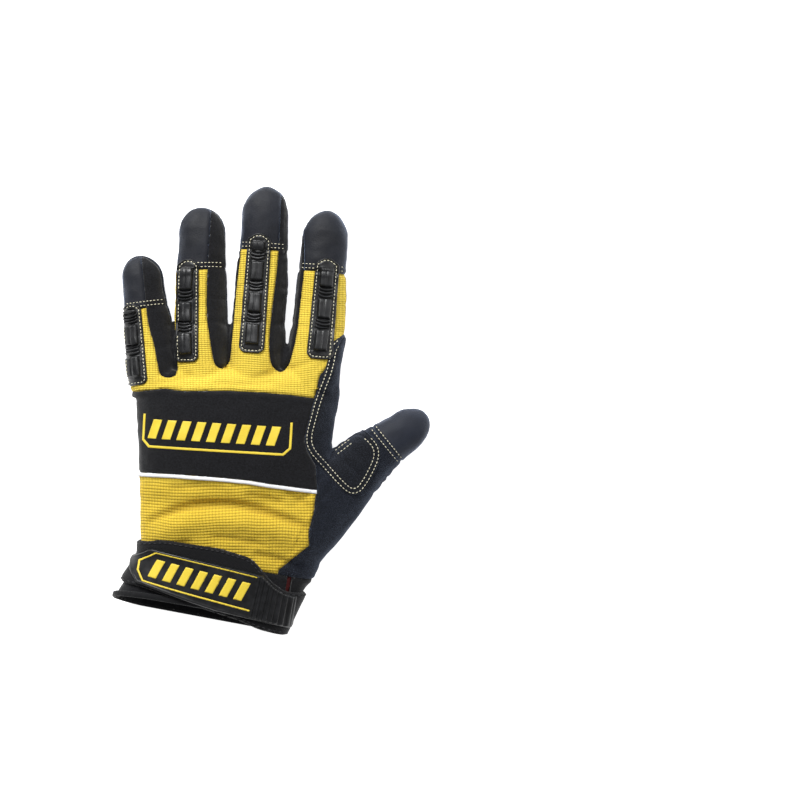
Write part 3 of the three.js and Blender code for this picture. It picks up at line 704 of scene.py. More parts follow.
# Materials: shader maths on sockets, so that a formula reads as one
class Value:
    def __init__(self, tree, socket):
        self.tree, self.socket = tree, socket

    def math(self, operation, *others):
        node = self.tree.nodes.new("ShaderNodeMath")
        node.operation = operation
        for slot, value in zip(node.inputs, (self, *others)):
            plug(self.tree, slot, value)
        return Value(self.tree, node.outputs[0])

    def __add__(self, other):
        return self.math("ADD", other)

    def __sub__(self, other):
        return self.math("SUBTRACT", other)

    def __mul__(self, other):
        return self.math("MULTIPLY", other)

    def __rsub__(self, other):
        return self * -1.0 + other

    __radd__, __rmul__ = __add__, __mul__

    def __pow__(self, other):
        return self.math("POWER", other)

    def sin(self):
        return self.math("SINE")

    def abs(self):
        return self.math("ABSOLUTE")

    def clamp(self):
        return self.math("MAXIMUM", 0.0).math("MINIMUM", 1.0)


def plug(tree, socket, value):
    if isinstance(value, Value):
        tree.links.new(value.socket, socket)
    else:
        socket.default_value = value


class Shader:
    """A material being made: coordinates in millimetres and its principled shader."""

    def __init__(self, name):
        self.material = bpy.data.materials.new(name)
        self.material.use_nodes = True
        self.tree = self.material.node_tree
        self.surface = next(n for n in self.tree.nodes if n.type == "BSDF_PRINCIPLED")
        where = self.node("ShaderNodeTexCoord", "Object")
        self.place = self.node("ShaderNodeVectorMath", 0, {0: where, 1: (1000.0,) * 3}, operation="MULTIPLY")
        axes = self.node("ShaderNodeSeparateXYZ", 0, {0: self.place}).socket.node.outputs
        self.x, self.y, self.z = (Value(self.tree, axis) for axis in axes)

    def node(self, kind, output=0, inputs=None, **settings):
        made = self.tree.nodes.new(kind)
        for key, value in settings.items():
            setattr(made, key, value)
        for key, value in (inputs or {}).items():
            plug(self.tree, made.inputs[key], value)
        return Value(self.tree, made.outputs[output])

    def noise(self, scale, detail=3.0, rough=0.5, stretch=(1.0, 1.0, 1.0)):
        place = self.node("ShaderNodeVectorMath", 0, {0: self.place, 1: stretch}, operation="MULTIPLY")
        return self.node("ShaderNodeTexNoise", 0, {"Vector": place, "Scale": scale, "Detail": detail,
                                                   "Roughness": rough})

    def cells(self, scale):
        return self.node("ShaderNodeTexVoronoi", 0, {"Vector": self.place, "Scale": scale})

    def mix(self, factor, first, second):
        return self.node("ShaderNodeMix", 2, {0: factor, 6: first, 7: second}, data_type="RGBA")

    def with_painted_shade(self, tone, share, deep):
        """A tone with painted shade in the folds and seam grooves, darker the deeper each point lies in
        them.
        """
        sunk = self.node("ShaderNodeAttribute", 2, attribute_name="sunk")
        return self.mix(sunk * share, tone, deep)

    def between(self, value, low, high):
        return self.node("ShaderNodeMapRange", 0, {"Value": value, "From Min": low, "From Max": high})

    def relief(self, height, millimetres, strength=1.0):
        """Raises the surface by a height of 0 to 1 times a real depth."""
        normal = self.node("ShaderNodeBump", 0, {"Height": height, "Distance": millimetres * MM,
                                                 "Strength": strength})
        plug(self.tree, self.surface.inputs["Normal"], normal)

    def set(self, **values):
        for key, value in values.items():
            plug(self.tree, self.surface.inputs[key.replace("_", " ")], value)
        return self.material


def colour(red, green, blue):
    """A screen colour of 0 to 255 as the renderer's linear one."""
    linear = [((v / 255 + 0.055) / 1.055) ** 2.4 if v > 10 else v / 3294 for v in (red, green, blue)]
    return (*linear, 1.0)


def knit_material():
    s = Shader("yellow_ribbed_knit")
    sway = (s.noise(0.03, 1.0) - 0.5) * 4.5
    lower = s.between(s.y, -32.0, -42.0)
    fine_rib = ((s.y + sway) * (math.pi / 1.2)).sin().abs()
    wide_rib = ((s.y + sway) * (math.pi / 1.65)).sin().abs()
    rib = fine_rib * (1 - lower) + wide_rib * lower
    thread = ((s.x + sway) * (math.pi / 1.7)).sin().abs()
    fuzz = s.noise(2.2, 2.0)
    # The tone follows the ribs' relief: painted shade, deep, in the grooves between ribs and threads, and
    # the yarn's yellow, bright, on their tops
    deep = s.mix(lower, colour(186, 148, 34), colour(156, 118, 24))
    bright = s.mix(lower, colour(247, 219, 84), colour(238, 205, 68))
    soil = s.between(s.noise(0.05, 2.0), 0.3, 0.7)
    tone = s.mix((rib ** 0.6 * 0.55 + thread ** 0.6 * 0.35 + soil * 0.1).clamp(), deep, bright)
    # Golden brown painted shade in the folds and seam grooves
    tone = s.with_painted_shade(tone, 0.5, colour(122, 90, 14))
    s.relief(rib ** 0.6 * 0.6 + thread ** 0.7 * 0.4 + fuzz * 0.12, 0.55)
    return s.set(Base_Color=tone, Roughness=0.85, Sheen_Weight=0.12, Sheen_Roughness=0.5,
                 Sheen_Tint=(1.0, 0.93, 0.6, 1.0), Specular_IOR_Level=0.2)


def leather_material(name, dark, light, rough):
    s = Shader(name)
    grain = s.cells(1.5)
    fine = s.noise(3.0, 3.0, 0.6)
    worn = s.between(s.noise(0.06, 3.0), 0.35, 0.75)
    s.relief(grain * 0.5 + fine * 0.6, 0.16)
    # Near black painted shade in the folds and seam grooves, over the grain and wear
    tone = s.with_painted_shade(s.mix((fine * 0.6 + worn * 0.45).clamp(), dark, light), 0.7, colour(3, 3, 4))
    return s.set(Base_Color=tone, Roughness=s.between(worn, -0.4, 1.6) * 0.16 + (rough - 0.08),
                 Sheen_Weight=0.45, Sheen_Roughness=0.4, Sheen_Tint=(0.55, 0.68, 1.0, 1.0),
                 Specular_IOR_Level=0.3)


def grain_material(name, dark, light, scale, depth):
    """A coarse speckled cloth or suede."""
    s = Shader(name)
    speck = s.noise(scale, 2.0, 0.7)
    fleck = s.between(s.noise(scale * 1.6, 1.0, 0.8), 0.5, 0.68)
    s.relief(speck * 0.7 + fleck * 0.5, depth)
    patchy = (fleck * 0.75 + (speck - 0.35) * 0.5).clamp()
    # Near black painted shade in the folds and seam grooves, over the speckle
    tone = s.with_painted_shade(s.mix(patchy, dark, light), 0.7, colour(3, 3, 4))
    return s.set(Base_Color=tone, Roughness=0.9, Sheen_Weight=0.3, Sheen_Roughness=0.5,
                 Sheen_Tint=(0.6, 0.72, 1.0, 1.0), Specular_IOR_Level=0.2)


def stretch_material():
    s = Shader("black_stretch_cloth")
    weave = ((s.x * (2 * math.pi / 0.62)).sin() * (s.y * (2 * math.pi / 0.62)).sin()) * 0.5 + 0.5
    fine = s.noise(1.3, 3.0, 0.75)
    lint = s.between(s.noise(0.9, 4.0, 0.8), 0.62, 0.78)
    s.relief(weave * 0.4 + fine * 0.8, 0.16)
    patchy = (s.between(fine, 0.35, 0.75) * 0.75 + lint * 0.35).clamp()
    # Near black painted shade in the folds and seam grooves, over the weave and lint
    tone = s.with_painted_shade(s.mix(patchy, colour(6, 6, 8), colour(37, 38, 43)), 0.7, colour(3, 3, 4))
    return s.set(Base_Color=tone, Roughness=0.88, Sheen_Weight=0.3, Sheen_Roughness=0.45,
                 Specular_IOR_Level=0.2)


def moulded_material():
    s = Shader("moulded_black_rubber")
    fine = s.noise(4.0, 2.0)
    smear = s.between(s.noise(0.25, 3.0), 0.35, 0.7)
    s.relief(fine, 0.03)
    tone = s.mix(smear, colour(12, 13, 15), colour(26, 27, 30))
    return s.set(Base_Color=tone, Roughness=smear * 0.14 + 0.34, Specular_IOR_Level=0.5)


def webbing_material():
    s = Shader("black_webbing")
    turn = math.radians(STRAP_ANGLE)
    along = s.x * math.cos(turn) + s.y * math.sin(turn)
    across = s.y * math.cos(turn) - s.x * math.sin(turn)
    weave = (along * (2 * math.pi / 1.1)).sin() * (across * (2 * math.pi / 0.9)).sin()
    fuzz = s.noise(3.0, 2.0)
    s.relief(weave * 0.4 + fuzz * 0.5 + 0.3, 0.2)
    tone = s.mix((weave * 0.25 + fuzz * 0.6).clamp(), colour(9, 9, 11), colour(31, 32, 36))
    return s.set(Base_Color=tone, Roughness=0.8, Sheen_Weight=0.2, Sheen_Roughness=0.4,
                 Specular_IOR_Level=0.25)


def plain_material(name, dark, light, rough, scale=2.0, depth=0.05):
    s = Shader(name)
    fine = s.noise(scale, 3.0)
    s.relief(fine, depth)
    return s.set(Base_Color=s.mix(fine, dark, light), Roughness=rough)


KNIT = knit_material()
LEATHER = leather_material("black_palm_leather", colour(11, 12, 16), colour(34, 37, 47), 0.66)
CAP_LEATHER = leather_material("black_cap_leather", colour(10, 11, 15), colour(32, 35, 44), 0.62)
THUMB_LEATHER = leather_material("blue_black_thumb_leather", colour(20, 23, 32), colour(44, 49, 62), 0.66)
PAD_SUEDE = grain_material("speckled_pad_suede", colour(20, 22, 27), colour(92, 96, 106), 1.1, 0.3)
THUMB_CLOTH = grain_material("coarse_black_textile", colour(11, 13, 18), colour(42, 47, 60), 1.5, 0.3)
WEB_LEATHER = grain_material("grained_web_leather", colour(8, 9, 12), colour(36, 38, 45), 1.2, 0.22)
STRETCH = stretch_material()
RUBBER = moulded_material()
WEBBING = webbing_material()
PIPING = plain_material("white_reflective_piping", colour(225, 228, 232), colour(250, 251, 253),
                        0.4, 1.2, 0.06)
CREAM_THREAD = plain_material("cream_thread", colour(240, 231, 184), colour(253, 250, 232), 0.6, 3.0)
DARK_THREAD = plain_material("black_thread", colour(20, 20, 23), colour(46, 46, 52), 0.6, 3.0)
PRINT = plain_material("yellow_print", colour(236, 204, 52), colour(248, 222, 76), 0.5, 1.5)
LINING = plain_material("red_lining", colour(84, 28, 30), colour(120, 44, 42), 0.85)

SLOTS = {
    "cuff": ("stretch_cloth", STRETCH),
    "palm": ("palm_leather", LEATHER),
    "palm_side": ("suede", THUMB_CLOTH),
    "thumb_back": ("suede", THUMB_CLOTH),
    "knit_knuckles": ("knit", KNIT),
    "knit_wrist": ("knit", KNIT),
    "knuckle_band": ("stretch_cloth", STRETCH),
}
SLOTS |= {name: ("stretch_cloth", STRETCH) for name in STRIPS}
SLOTS |= {name: ("palm_leather", CAP_LEATHER) for name in CAPS.values()}
SLOTS["thumb_tip"] = ("palm_leather", THUMB_LEATHER)


def finished(piece, slot, *nodes):
    if nodes:
        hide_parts(*nodes)
    return piece


# The panels, with the smooth palm thinned
for panel in PANELS[1:]:
    slot, material = SLOTS[panel]
    piece = sheet("skin_" + panel, points, normals, triangles[label == PANELS.index(panel)], 0.0, -WALL,
                  material, sunk, 0.55 if panel == "palm" else 1.0)
    finished(piece, slot, *([] if panel == "palm_side" else [panel]))
slit_skin = triangles[in_field["slit"] & ~in_field["hand"] & in_field["top"] & in_field["kept"]]
finished(sheet("slit_gusset", points, normals, slit_skin, -WALL - 0.3, -WALL - 0.9, LINING), "stretch_cloth")


# Pieces laid over the skin or over the cuff
def patch(name, source, field, height, lift, sink, levels, material, share=1.0):
    """A closed layer over part of a surface. height gives its thickness from points and their inset."""
    base, faces = source
    near = field(base) > -3.0
    faces = faces[near[faces].any(1)]
    used, faces = np.unique(faces, return_inverse=True)
    faces = faces.reshape(-1, faces.shape[1] if faces.ndim > 1 else source[1].shape[1])
    base = base[used]
    if levels:
        base, faces = through(base, faces.tolist(), "SUBSURF", levels=levels, render_levels=levels)
    out = normals_of(base, faces)
    spacing = np.median(np.linalg.norm(base[faces[:, 0]] - base[faces[:, 1]], axis=1))
    side = snap(base, out, field, spacing * 0.6)
    pieces = split(faces, [side]) if faces.shape[1] == 4 else faces
    pieces = pieces[side_of(pieces, side, field, base)]
    inset = np.maximum(field(base), 0)
    top = lift + height(base, inset)
    return sheet(name, base, out, pieces, top, lift - sink, material, share=share)


top_faces = triangles[(normals[triangles].mean(1)[:, 2] > -0.35) & (points[triangles].mean(1)[:, 2] > 5)]
under_faces = triangles[(normals[triangles].mean(1)[:, 2] < 0.1) & (points[triangles].mean(1)[:, 2] < 12)]
TOP, UNDER = (points, top_faces), (points, under_faces)


def ease(value, full):
    """From 0 at the border to 1 at a depth, rounded like a folded or moulded edge."""
    return np.sqrt(1 - (1 - np.clip(value / full, 0, 1)) ** 2)


# The palm's pads: flat where they rest, with two sewn channels inside their edge
def pad_height(p, inset):
    sewn = 0.4 * bump(inset, 1.25, 0.5) + 0.45 * bump(inset, 3.7, 0.55)
    grain = 0.1 * np.sin(p[:, 0] * 0.35) * np.sin(p[:, 1] * 0.3 + 1)
    return np.clip(PAD * 0.95 * ease(inset, 1.1) - sewn + grain * ease(inset, 6), 0.05, None)


PADS = {"pad_knuckles": KNUCKLE_PAD, "pad_thenar": THENAR_PAD, "pad_heel": HEEL_PAD}
pad_pieces = {}
for name, outline in PADS.items():
    piece = patch(name + "_sewn", UNDER, inside(rounded(on_hand(outline))), pad_height, 0.05, 0.3, 1,
                  PAD_SUEDE, 0.6)
    finished(piece, "suede", name)
    pad_pieces[name] = piece

# The leather over the web between thumb and index finger
web_field = inside(rounded(on_hand(OVERLAY), 1))


def overlay_height(p, inset):
    sewn = 0.3 * bump(inset, 1.1, 0.5) + 0.3 * bump(inset, 3.6, 0.5)
    return 0.95 * ease(inset, 0.8) - sewn + 0.2 * np.sin(inset * 0.4) * ease(inset, 8)


web = patch("web_overlay_leather", TOP, lambda p: np.minimum(web_field(p), p[:, 2] - SEAM_HEIGHT - GAP),
            overlay_height, 0.05, 0.3, 1, WEB_LEATHER, 0.55)
finished(web, "palm_leather", "web_overlay")

# The piping below the knuckle band
PIPING_WIDTH = 2.0
piping_line = on_hand([*BAND_BOTTOM, *[(x, y - PIPING_WIDTH / HAND_LENGTH) for x, y in BAND_BOTTOM[::-1]]])
piping_field = inside(piping_line)
piping = patch("piping_cord", TOP, lambda p: np.minimum(piping_field(p), p[:, 2] - SEAM_HEIGHT),
               lambda p, inset: 0.1 + 0.75 * ease(inset, PIPING_WIDTH / 2), 0.35, 0.6, 2, PIPING, 0.6)
finished(piping, "piping", "piping")


# The finger guards: a stitched flange with smooth bars and low arched ribs along its middle
def guard_outline(k):
    digit, start, end = DIGITS[k], GUARDS["start"][k], GUARDS["end"][k]
    half = GUARDS["width"][k] * digit.width / 2
    corner = half * 0.35
    step = corner / digit.length
    shoulder = end - 1.3 * step
    shape = [(start, -half + corner), (start + step, -half), (shoulder, -half * 0.93), (end, -half * 0.3),
             (end, half * 0.3), (shoulder, half * 0.93), (start + step, half), (start, half - corner)]
    return np.array([digit.point(s, GUARDS["middle"][k]) + digit.sideways * v for s, v in shape])


BAR_HALF, BAR_LENGTH, GUARD_PITCH, FLANGE, RIB, BAR = 3.3, 11.0, 17.5, 1.0, 1.2, 2.2


def guard_height(k):
    digit = DIGITS[k]
    start = GUARDS["start"][k] * digit.length + 4.5
    end = GUARDS["end"][k] * digit.length - 4.5

    def height(p, inset):
        u, v = digit.local(p)
        _, half, *_ = digit.at(u / digit.length)
        v = v - GUARDS["middle"][k] * half
        flange = FLANGE * ease(inset, 0.55) - 0.4 * bump(inset, 1.35, 0.32) + 0.15 * bump(inset, 0.6, 0.4)
        turn = np.mod(u - start, GUARD_PITCH)
        arched = np.mod(u - start - 0.07 * v**2, GUARD_PITCH)
        live = (u > start) & (u < end)
        side = ease(BAR_HALF - np.abs(v), 1.1)
        ends = ease(np.minimum(turn, BAR_LENGTH - turn), 1.2) * (turn < BAR_LENGTH)
        ends = np.minimum(ends, ease(end - u, 1.2))
        bar = BAR * ends * side * live - 0.25 * bump(v, 0, 0.45) * (ends > 0.9) * live
        rib = np.zeros(len(u))
        for place in (BAR_LENGTH + 1.5, BAR_LENGTH + 3.25, BAR_LENGTH + 5.0):
            rib = np.maximum(rib, RIB * ease(0.72 - np.abs(arched - place), 0.6))
        rib *= ease(BAR_HALF + 0.5 - np.abs(v), 0.9) * live
        moat = -0.35 * bump(np.abs(v), BAR_HALF + 0.75, 0.4) * ease(inset - 1.6, 1.2) * live
        return np.maximum(flange + np.maximum(bar, rib) + moat, 0.1)

    return height


guard_outlines = []
for k, digit in enumerate(DIGITS[:4]):
    outline = rounded(guard_outline(k), 1, 0.7)
    field = inside(outline)
    guard_outlines.append(outline)
    piece = patch("guard_" + digit.name + "_moulded", TOP,
                  lambda p, field=field: np.minimum(field(p), p[:, 2] - SEAM_HEIGHT - GAP),
                  guard_height(k), 0.1, 0.4, FINE_LEVELS, RUBBER, 0.33)
    finished(piece, "moulded_rubber", "guard_" + digit.name)


# The strap round the cuff and the moulded tab on it
def tube(low, high, step=0.8):
    count = int((high - low) * HAND_LENGTH / step)
    rings = body_rings(np.linspace(low, high, count), 0.0, 300)
    base, faces = loft(rings)
    return base, np.array([f for f in faces if len(f) == 4])


TAB_LENGTH, TAB_WIDTH, TAB_CHAMFER, TAB_MARGIN, GRIP_PITCH, GRIPS = 88.0, 25.0, 8.0, 1.2, 2.6, 8


def turned(centre, angle):
    """A function that gives points as distances along and across a turned rectangle's middle."""
    turn = math.radians(angle)
    along, across = (math.cos(turn), math.sin(turn)), (-math.sin(turn), math.cos(turn))
    return lambda p: np.stack([(p[:, :2] - centre) @ along, (p[:, :2] - centre) @ across], 1)


on_tab = turned(on_hand([(-0.115, -0.187)])[0], STRAP_ANGLE)
STRAP_LIFT, STRAP_THICK, TAB_THICK = 1.1, 1.8, 1.5
TAB_LIFT = STRAP_LIFT + STRAP_THICK + GAP
cuff_tube = tube(-0.62, 0.2)
strap_shape = inside(rounded(on_hand(STRAP), 1, 2.0))


def strap_height(p, inset):
    sewn = 0.3 * bump(inset, 1.6, 0.45)
    wave = 0.16 * np.sin(on_tab(p)[:, 0] * 0.22 + 0.6) * ease(inset, 5)
    return (STRAP_THICK - 0.05) * ease(inset, 0.9) - sewn + wave


strap = patch("strap_webbing", cuff_tube, lambda p: np.minimum(strap_shape(p), p[:, 2] - 4.0), strap_height,
              STRAP_LIFT, 0.1, 0, WEBBING)
finished(strap, "webbing", "strap")

half_long, half_wide = TAB_LENGTH / 2, TAB_WIDTH / 2
tab_corners = [(-half_long, 0.25 * half_wide), (-half_long + TAB_CHAMFER, half_wide),
               (half_long, half_wide), (half_long, -half_wide),
               (-half_long + TAB_CHAMFER, -half_wide), (-half_long, -0.25 * half_wide)]
tab_shape = inside(rounded(tab_corners, 1, 1.2))


def tab_field(p):
    return np.minimum(np.minimum(tab_shape(on_tab(p)), strap_shape(p) - TAB_MARGIN), p[:, 2] - 6.0)


def tab_height(p, inset):
    u, v = on_tab(p).T
    first = half_long - 1 - GRIPS * GRIP_PITCH
    grip = ease(0.75 - np.abs(np.mod(u - first, GRIP_PITCH) - GRIP_PITCH / 2), 0.65) * (u > first)
    grip *= ease(half_wide - 0.9 - np.abs(v), 0.8) * (u < half_long - 1)
    return (TAB_THICK - 0.15) * ease(inset, 0.7) + 0.15 * bump(inset, 1.0, 0.5) + 0.7 * grip


tab = patch("strap_tab_moulded", cuff_tube, tab_field, tab_height, TAB_LIFT, 0.1, FINE_LEVELS, RUBBER, 0.3)
finished(tab, "moulded_rubber", "strap_tab")


# The printed frames with slanted bars on the band and on the tab
def motif(outline, line, cut, zone, count, wide, slant):
    """A thin frame, open beyond a cut, and a row of slanted bars over a zone, as one signed distance."""
    frame_line = inside(outline)
    u0, u1, v0, v1 = zone
    bars = [inside([(u - wide / 2 - slant, v0), (u + wide / 2 - slant, v0), (u + wide / 2 + slant, v1),
                    (u - wide / 2 + slant, v1)]) for u in np.linspace(u0, u1, count)]

    def field(q):
        out = np.minimum(line / 2 - np.abs(frame_line(q) - line / 2), cut(q))
        for bar in bars:
            out = np.maximum(out, bar(q))
        return out

    return field


on_band = turned((-9.6, 61.0), -3.4)
band_motif = motif([(-41, 30), (-41, -2.7), (-37, -6.7), (37, -6.7), (41, -2.7), (41, 30)], 1.3,
                   lambda q: 11.6 - q[:, 1], (-34, 31, -1.6, 8.9), 9, 4.8, 1.5)
band = patch("band_print", TOP, lambda p: np.minimum(band_motif(on_band(p)), p[:, 2] - SEAM_HEIGHT - 3),
             lambda p, inset: 0.16 * ease(inset, 0.2), 0.06, 0.15, 2, PRINT, 0.35)
finished(band, "knit")
tab_motif = motif([(30, 11.3), (-32.5, 11.3), (-39.6, 3.2), (-39.6, -2.4), (-35.8, -7.4), (30, -8.6)], 0.95,
                  lambda q: 22.8 - q[:, 0], (-30, 16.5, -3.9, 6.7), 7, 4.4, 1.4)
label_print = patch("tab_print", cuff_tube, lambda p: np.minimum(tab_motif(on_tab(p)), tab_field(p) - 0.8),
                    lambda p, inset: 0.14 * ease(inset, 0.2), TAB_LIFT + TAB_THICK - 0.13, 0.15, 1, PRINT)
finished(label_print, "knit")


# The binding round the hem: a rounded section swept along the cuff's edge
def hem_ring():
    along = np.linspace(-0.56, -0.1, 240)
    rings = body_rings(along, 0.0, 240)
    high = hem(rings.reshape(-1, 3)).reshape(rings.shape[:2])
    ring = []
    for i in range(rings.shape[1]):
        k = int(np.argmax(high[:, i] > 0))
        t = high[k, i] / (high[k, i] - high[k - 1, i])
        ring.append(rings[k, i] * (1 - t) + rings[k - 1, i] * t)
    return np.array(ring)


# The section's middle and half sizes, outwards from the edge and up along the cuff
BINDING_SECTION = {"out": (-0.65, 1.25), "up": (0.3, 1.6)}


def squared(value):
    return np.sign(value) * np.abs(value) ** 0.75


def binding_mesh():
    edge = hem_ring()
    tangent = np.roll(edge, -1, axis=0) - np.roll(edge, 1, axis=0)
    turn = math.radians(HEM_ANGLE)
    axis = np.array([-math.sin(turn), math.cos(turn), 0.0])
    outward = np.cross(tangent, axis)
    outward /= np.linalg.norm(outward, axis=1)[:, None]
    around = np.linspace(0, 2 * math.pi, 14, endpoint=False)
    swell = 0.06 * np.sin(np.arange(len(edge)) * 1.7)
    (out, half_out), (up, half_up) = BINDING_SECTION["out"], BINDING_SECTION["up"]
    section = [edge + outward * (out + half_out * squared(math.cos(a)) + swell[:, None])
               + axis * (up + half_up * squared(math.sin(a))) for a in around]
    rings = np.arange(len(edge) * len(around)).reshape(len(edge), len(around))
    a, b = rings, np.roll(rings, -1, axis=1)
    c, d = np.roll(b, -1, axis=0), np.roll(a, -1, axis=0)
    faces = np.stack([a, b, c, d], 2).reshape(-1, 4)
    points = np.stack(section, 1).reshape(-1, 3)
    points[:, 2] = np.maximum(points[:, 2], 0.0)
    middles = np.repeat(edge + outward * out, len(around), axis=0)
    inwards = ((points - middles) * normals_of(points, faces)).sum() < 0
    return points, faces[:, ::-1] if inwards else faces


binding_points, binding_faces = binding_mesh()
binding = raw_object("hem_binding_tape", binding_points + SHIFT, binding_faces.tolist())
binding.data.materials.append(WEBBING)
binding.data.polygons.foreach_set("use_smooth", [True] * len(binding.data.polygons))
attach(binding, "root")
finished(binding, "webbing", "hem_binding")


# Stitches: one small thread, repeated along every sewn line by geometry nodes
def stitch_tree():
    tree = bpy.data.node_groups.new("stitch_rows", "GeometryNodeTree")
    sockets = {}
    for name, kind in (("Geometry", "NodeSocketGeometry"), ("Length", "NodeSocketFloat"),
                       ("Thickness", "NodeSocketFloat"), ("Thread", "NodeSocketMaterial")):
        sockets[name] = tree.interface.new_socket(name=name, in_out="INPUT", socket_type=kind).identifier
    tree.interface.new_socket(name="Geometry", in_out="OUTPUT", socket_type="NodeSocketGeometry")

    def node(kind, links=(), values=(), **settings):
        made = tree.nodes.new(kind)
        for key, value in settings.items():
            setattr(made, key, value)
        for key, value in values:
            made.inputs[key].default_value = value
        for key, socket in links:
            tree.links.new(socket, made.inputs[key])
        return made

    given = node("NodeGroupInput").outputs
    bead = node("GeometryNodeMeshUVSphere", values=[("Segments", 6), ("Rings", 6), ("Radius", 0.5)])
    size = node("ShaderNodeCombineXYZ",
                [(0, given["Length"]), (1, given["Thickness"]), (2, given["Thickness"])])
    thread = node("GeometryNodeTransform",
                  [("Geometry", bead.outputs["Mesh"]), ("Scale", size.outputs[0])])
    along = node("GeometryNodeInputNamedAttribute", values=[("Name", "along")], data_type="FLOAT_VECTOR")
    out = node("GeometryNodeInputNamedAttribute", values=[("Name", "out")], data_type="FLOAT_VECTOR")
    first = node("FunctionNodeAlignRotationToVector", [("Vector", along.outputs["Attribute"])], axis="X")
    second = node("FunctionNodeAlignRotationToVector",
                  [("Rotation", first.outputs["Rotation"]), ("Vector", out.outputs["Attribute"])],
                  axis="Z", pivot_axis="X")
    row = node("GeometryNodeInstanceOnPoints",
               [("Points", given["Geometry"]), ("Instance", thread.outputs["Geometry"]),
                ("Rotation", second.outputs["Rotation"])])
    real = node("GeometryNodeRealizeInstances", [("Geometry", row.outputs["Instances"])])
    paint = node("GeometryNodeSetMaterial",
                 [("Geometry", real.outputs["Geometry"]), ("Material", given["Thread"])])
    node("NodeGroupOutput", [("Geometry", paint.outputs["Geometry"])])
    return tree, sockets


STITCHES, STITCH_SOCKETS = stitch_tree()


def surface_of(*pieces):
    """A tree of what the given pieces' meshes show, in hand millimetres."""
    all_points, all_faces, start = [], [], 0
    for piece in pieces:
        p = np.empty(len(piece.data.vertices) * 3)
        piece.data.vertices.foreach_get("co", p)
        all_points.append(p.reshape(-1, 3) / MM - SHIFT)
        all_faces.extend([[i + start for i in f.vertices] for f in piece.data.polygons])
        start += len(piece.data.vertices)
    return BVHTree.FromPolygons(np.concatenate(all_points).tolist(), all_faces)


def sewn(name, tree, lines, toward, thread, slot, pitch, length, thick):
    """Stitches along lines on the hand's plan, laid on what the tree shows, seen from where the rays
    start. toward is the rays' direction."""
    toward = Vector(toward)
    places, alongs, outs = [], [], []
    for line, closed in lines:
        line = np.asarray(line, float)
        if closed:
            line = np.concatenate([line, line[:1]])
        laid = np.r_[0, np.cumsum(np.linalg.norm(np.diff(line, axis=0), axis=1))]
        count = max(int(round(laid[-1] / pitch)), 1)
        for middle_at in (np.arange(count) + 0.5) * laid[-1] / count:
            ends = []
            for at in (middle_at - length / 2, middle_at + length / 2):
                at = min(max(at, 0), laid[-1])
                p = Vector((np.interp(at, laid, line[:, 0]), np.interp(at, laid, line[:, 1]), 12.0))
                hit = tree.ray_cast(p - toward * 60, toward)
                if hit[0] is not None:
                    ends.append((hit[0], hit[1]))
            if len(ends) < 2:
                continue
            along = ends[1][0] - ends[0][0]
            if not 0.4 < along.length < length * 1.8:
                continue
            out = (ends[0][1] + ends[1][1]).normalized()
            out = -out if out.dot(toward) > 0 else out
            places.append((ends[0][0] + ends[1][0]) / 2 + out * thick * 0.12)
            alongs.append(along)
            outs.append(out)
    source = raw_object(name + "_rows", np.array(places) + SHIFT, [])
    for key, vectors in (("along", alongs), ("out", outs)):
        data = source.data.attributes.new(key, "FLOAT_VECTOR", "POINT")
        data.data.foreach_set("vector", np.array(vectors).ravel())
    modifier = source.modifiers.new("rows", "NODES")
    modifier.node_group = STITCHES
    modifier[STITCH_SOCKETS["Length"]] = length * MM
    modifier[STITCH_SOCKETS["Thickness"]] = thick * MM
    modifier[STITCH_SOCKETS["Thread"]] = thread
    depsgraph = bpy.context.evaluated_depsgraph_get()
    mesh = bpy.data.meshes.new_from_object(source.evaluated_get(depsgraph), depsgraph=depsgraph)
    bpy.data.objects.remove(source)
    made = bpy.data.objects.new(name, mesh)
    bpy.context.scene.collection.objects.link(made)
    mesh.polygons.foreach_set("use_smooth", [True] * len(mesh.polygons))
    for vertex in mesh.vertices:
        vertex.co.z = max(vertex.co.z, 0)
    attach(made, "root")
    return made


def inset_line(points, distance):
    """A dense outline moved inwards."""
    points = np.asarray(points)
    after, before = np.roll(points, -1, axis=0), np.roll(points, 1, axis=0)
    along = after - before
    along /= np.linalg.norm(along, axis=1)[:, None]
    area = (points[:, 0] * after[:, 1] - after[:, 0] * points[:, 1]).sum()
    normal = np.stack([-along[:, 1], along[:, 0]], 1) * (1 if area > 0 else -1)
    moved = points + normal * distance
    field = inside(points)
    return moved[field(np.c_[moved, np.zeros(len(moved))]) > distance * 0.8]


def across_digit(digit, millimetres, reach=1.25):
    share = 1 - (digit.cap + millimetres) / digit.length
    return [digit.point(share, v) for v in np.linspace(-reach, reach, 16)]


def down_digit(digit, across, start, end, offset=0.0):
    return [digit.point(s, across) + digit.sideways * offset for s in np.linspace(start, end, 30)]


skins = [o for o in bpy.data.objects if o.name.startswith("skin_")]
guards = [o for o in bpy.data.objects if o.name.startswith("guard_") and "moulded" in o.name]
under_shown = surface_of(*skins, *pad_pieces.values())

# How far apart stitches lie, their length and the thread's thickness, in each kind of row
PAD_ROW = 2.4, 1.7, 0.62
PALM_ROW = 2.3, 1.6, 0.5
WEB_ROW = 2.0, 1.4, 0.48
CAP_ROW = 1.95, 1.35, 0.46
GUARD_ROW = 1.95, 1.35, 0.48
STRAP_ROW = 2.9, 2.1, 0.6
DOWN, UP = (0, 0, -1), (0, 0, 1)

pad_lines = []
for outline in PADS.values():
    dense = rounded(on_hand(outline))
    pad_lines += [(inset_line(dense, 1.25), True), (inset_line(dense, 3.7), True)]
sewn("stitches_pads", under_shown, pad_lines, UP, CREAM_THREAD, "knit", *PAD_ROW)

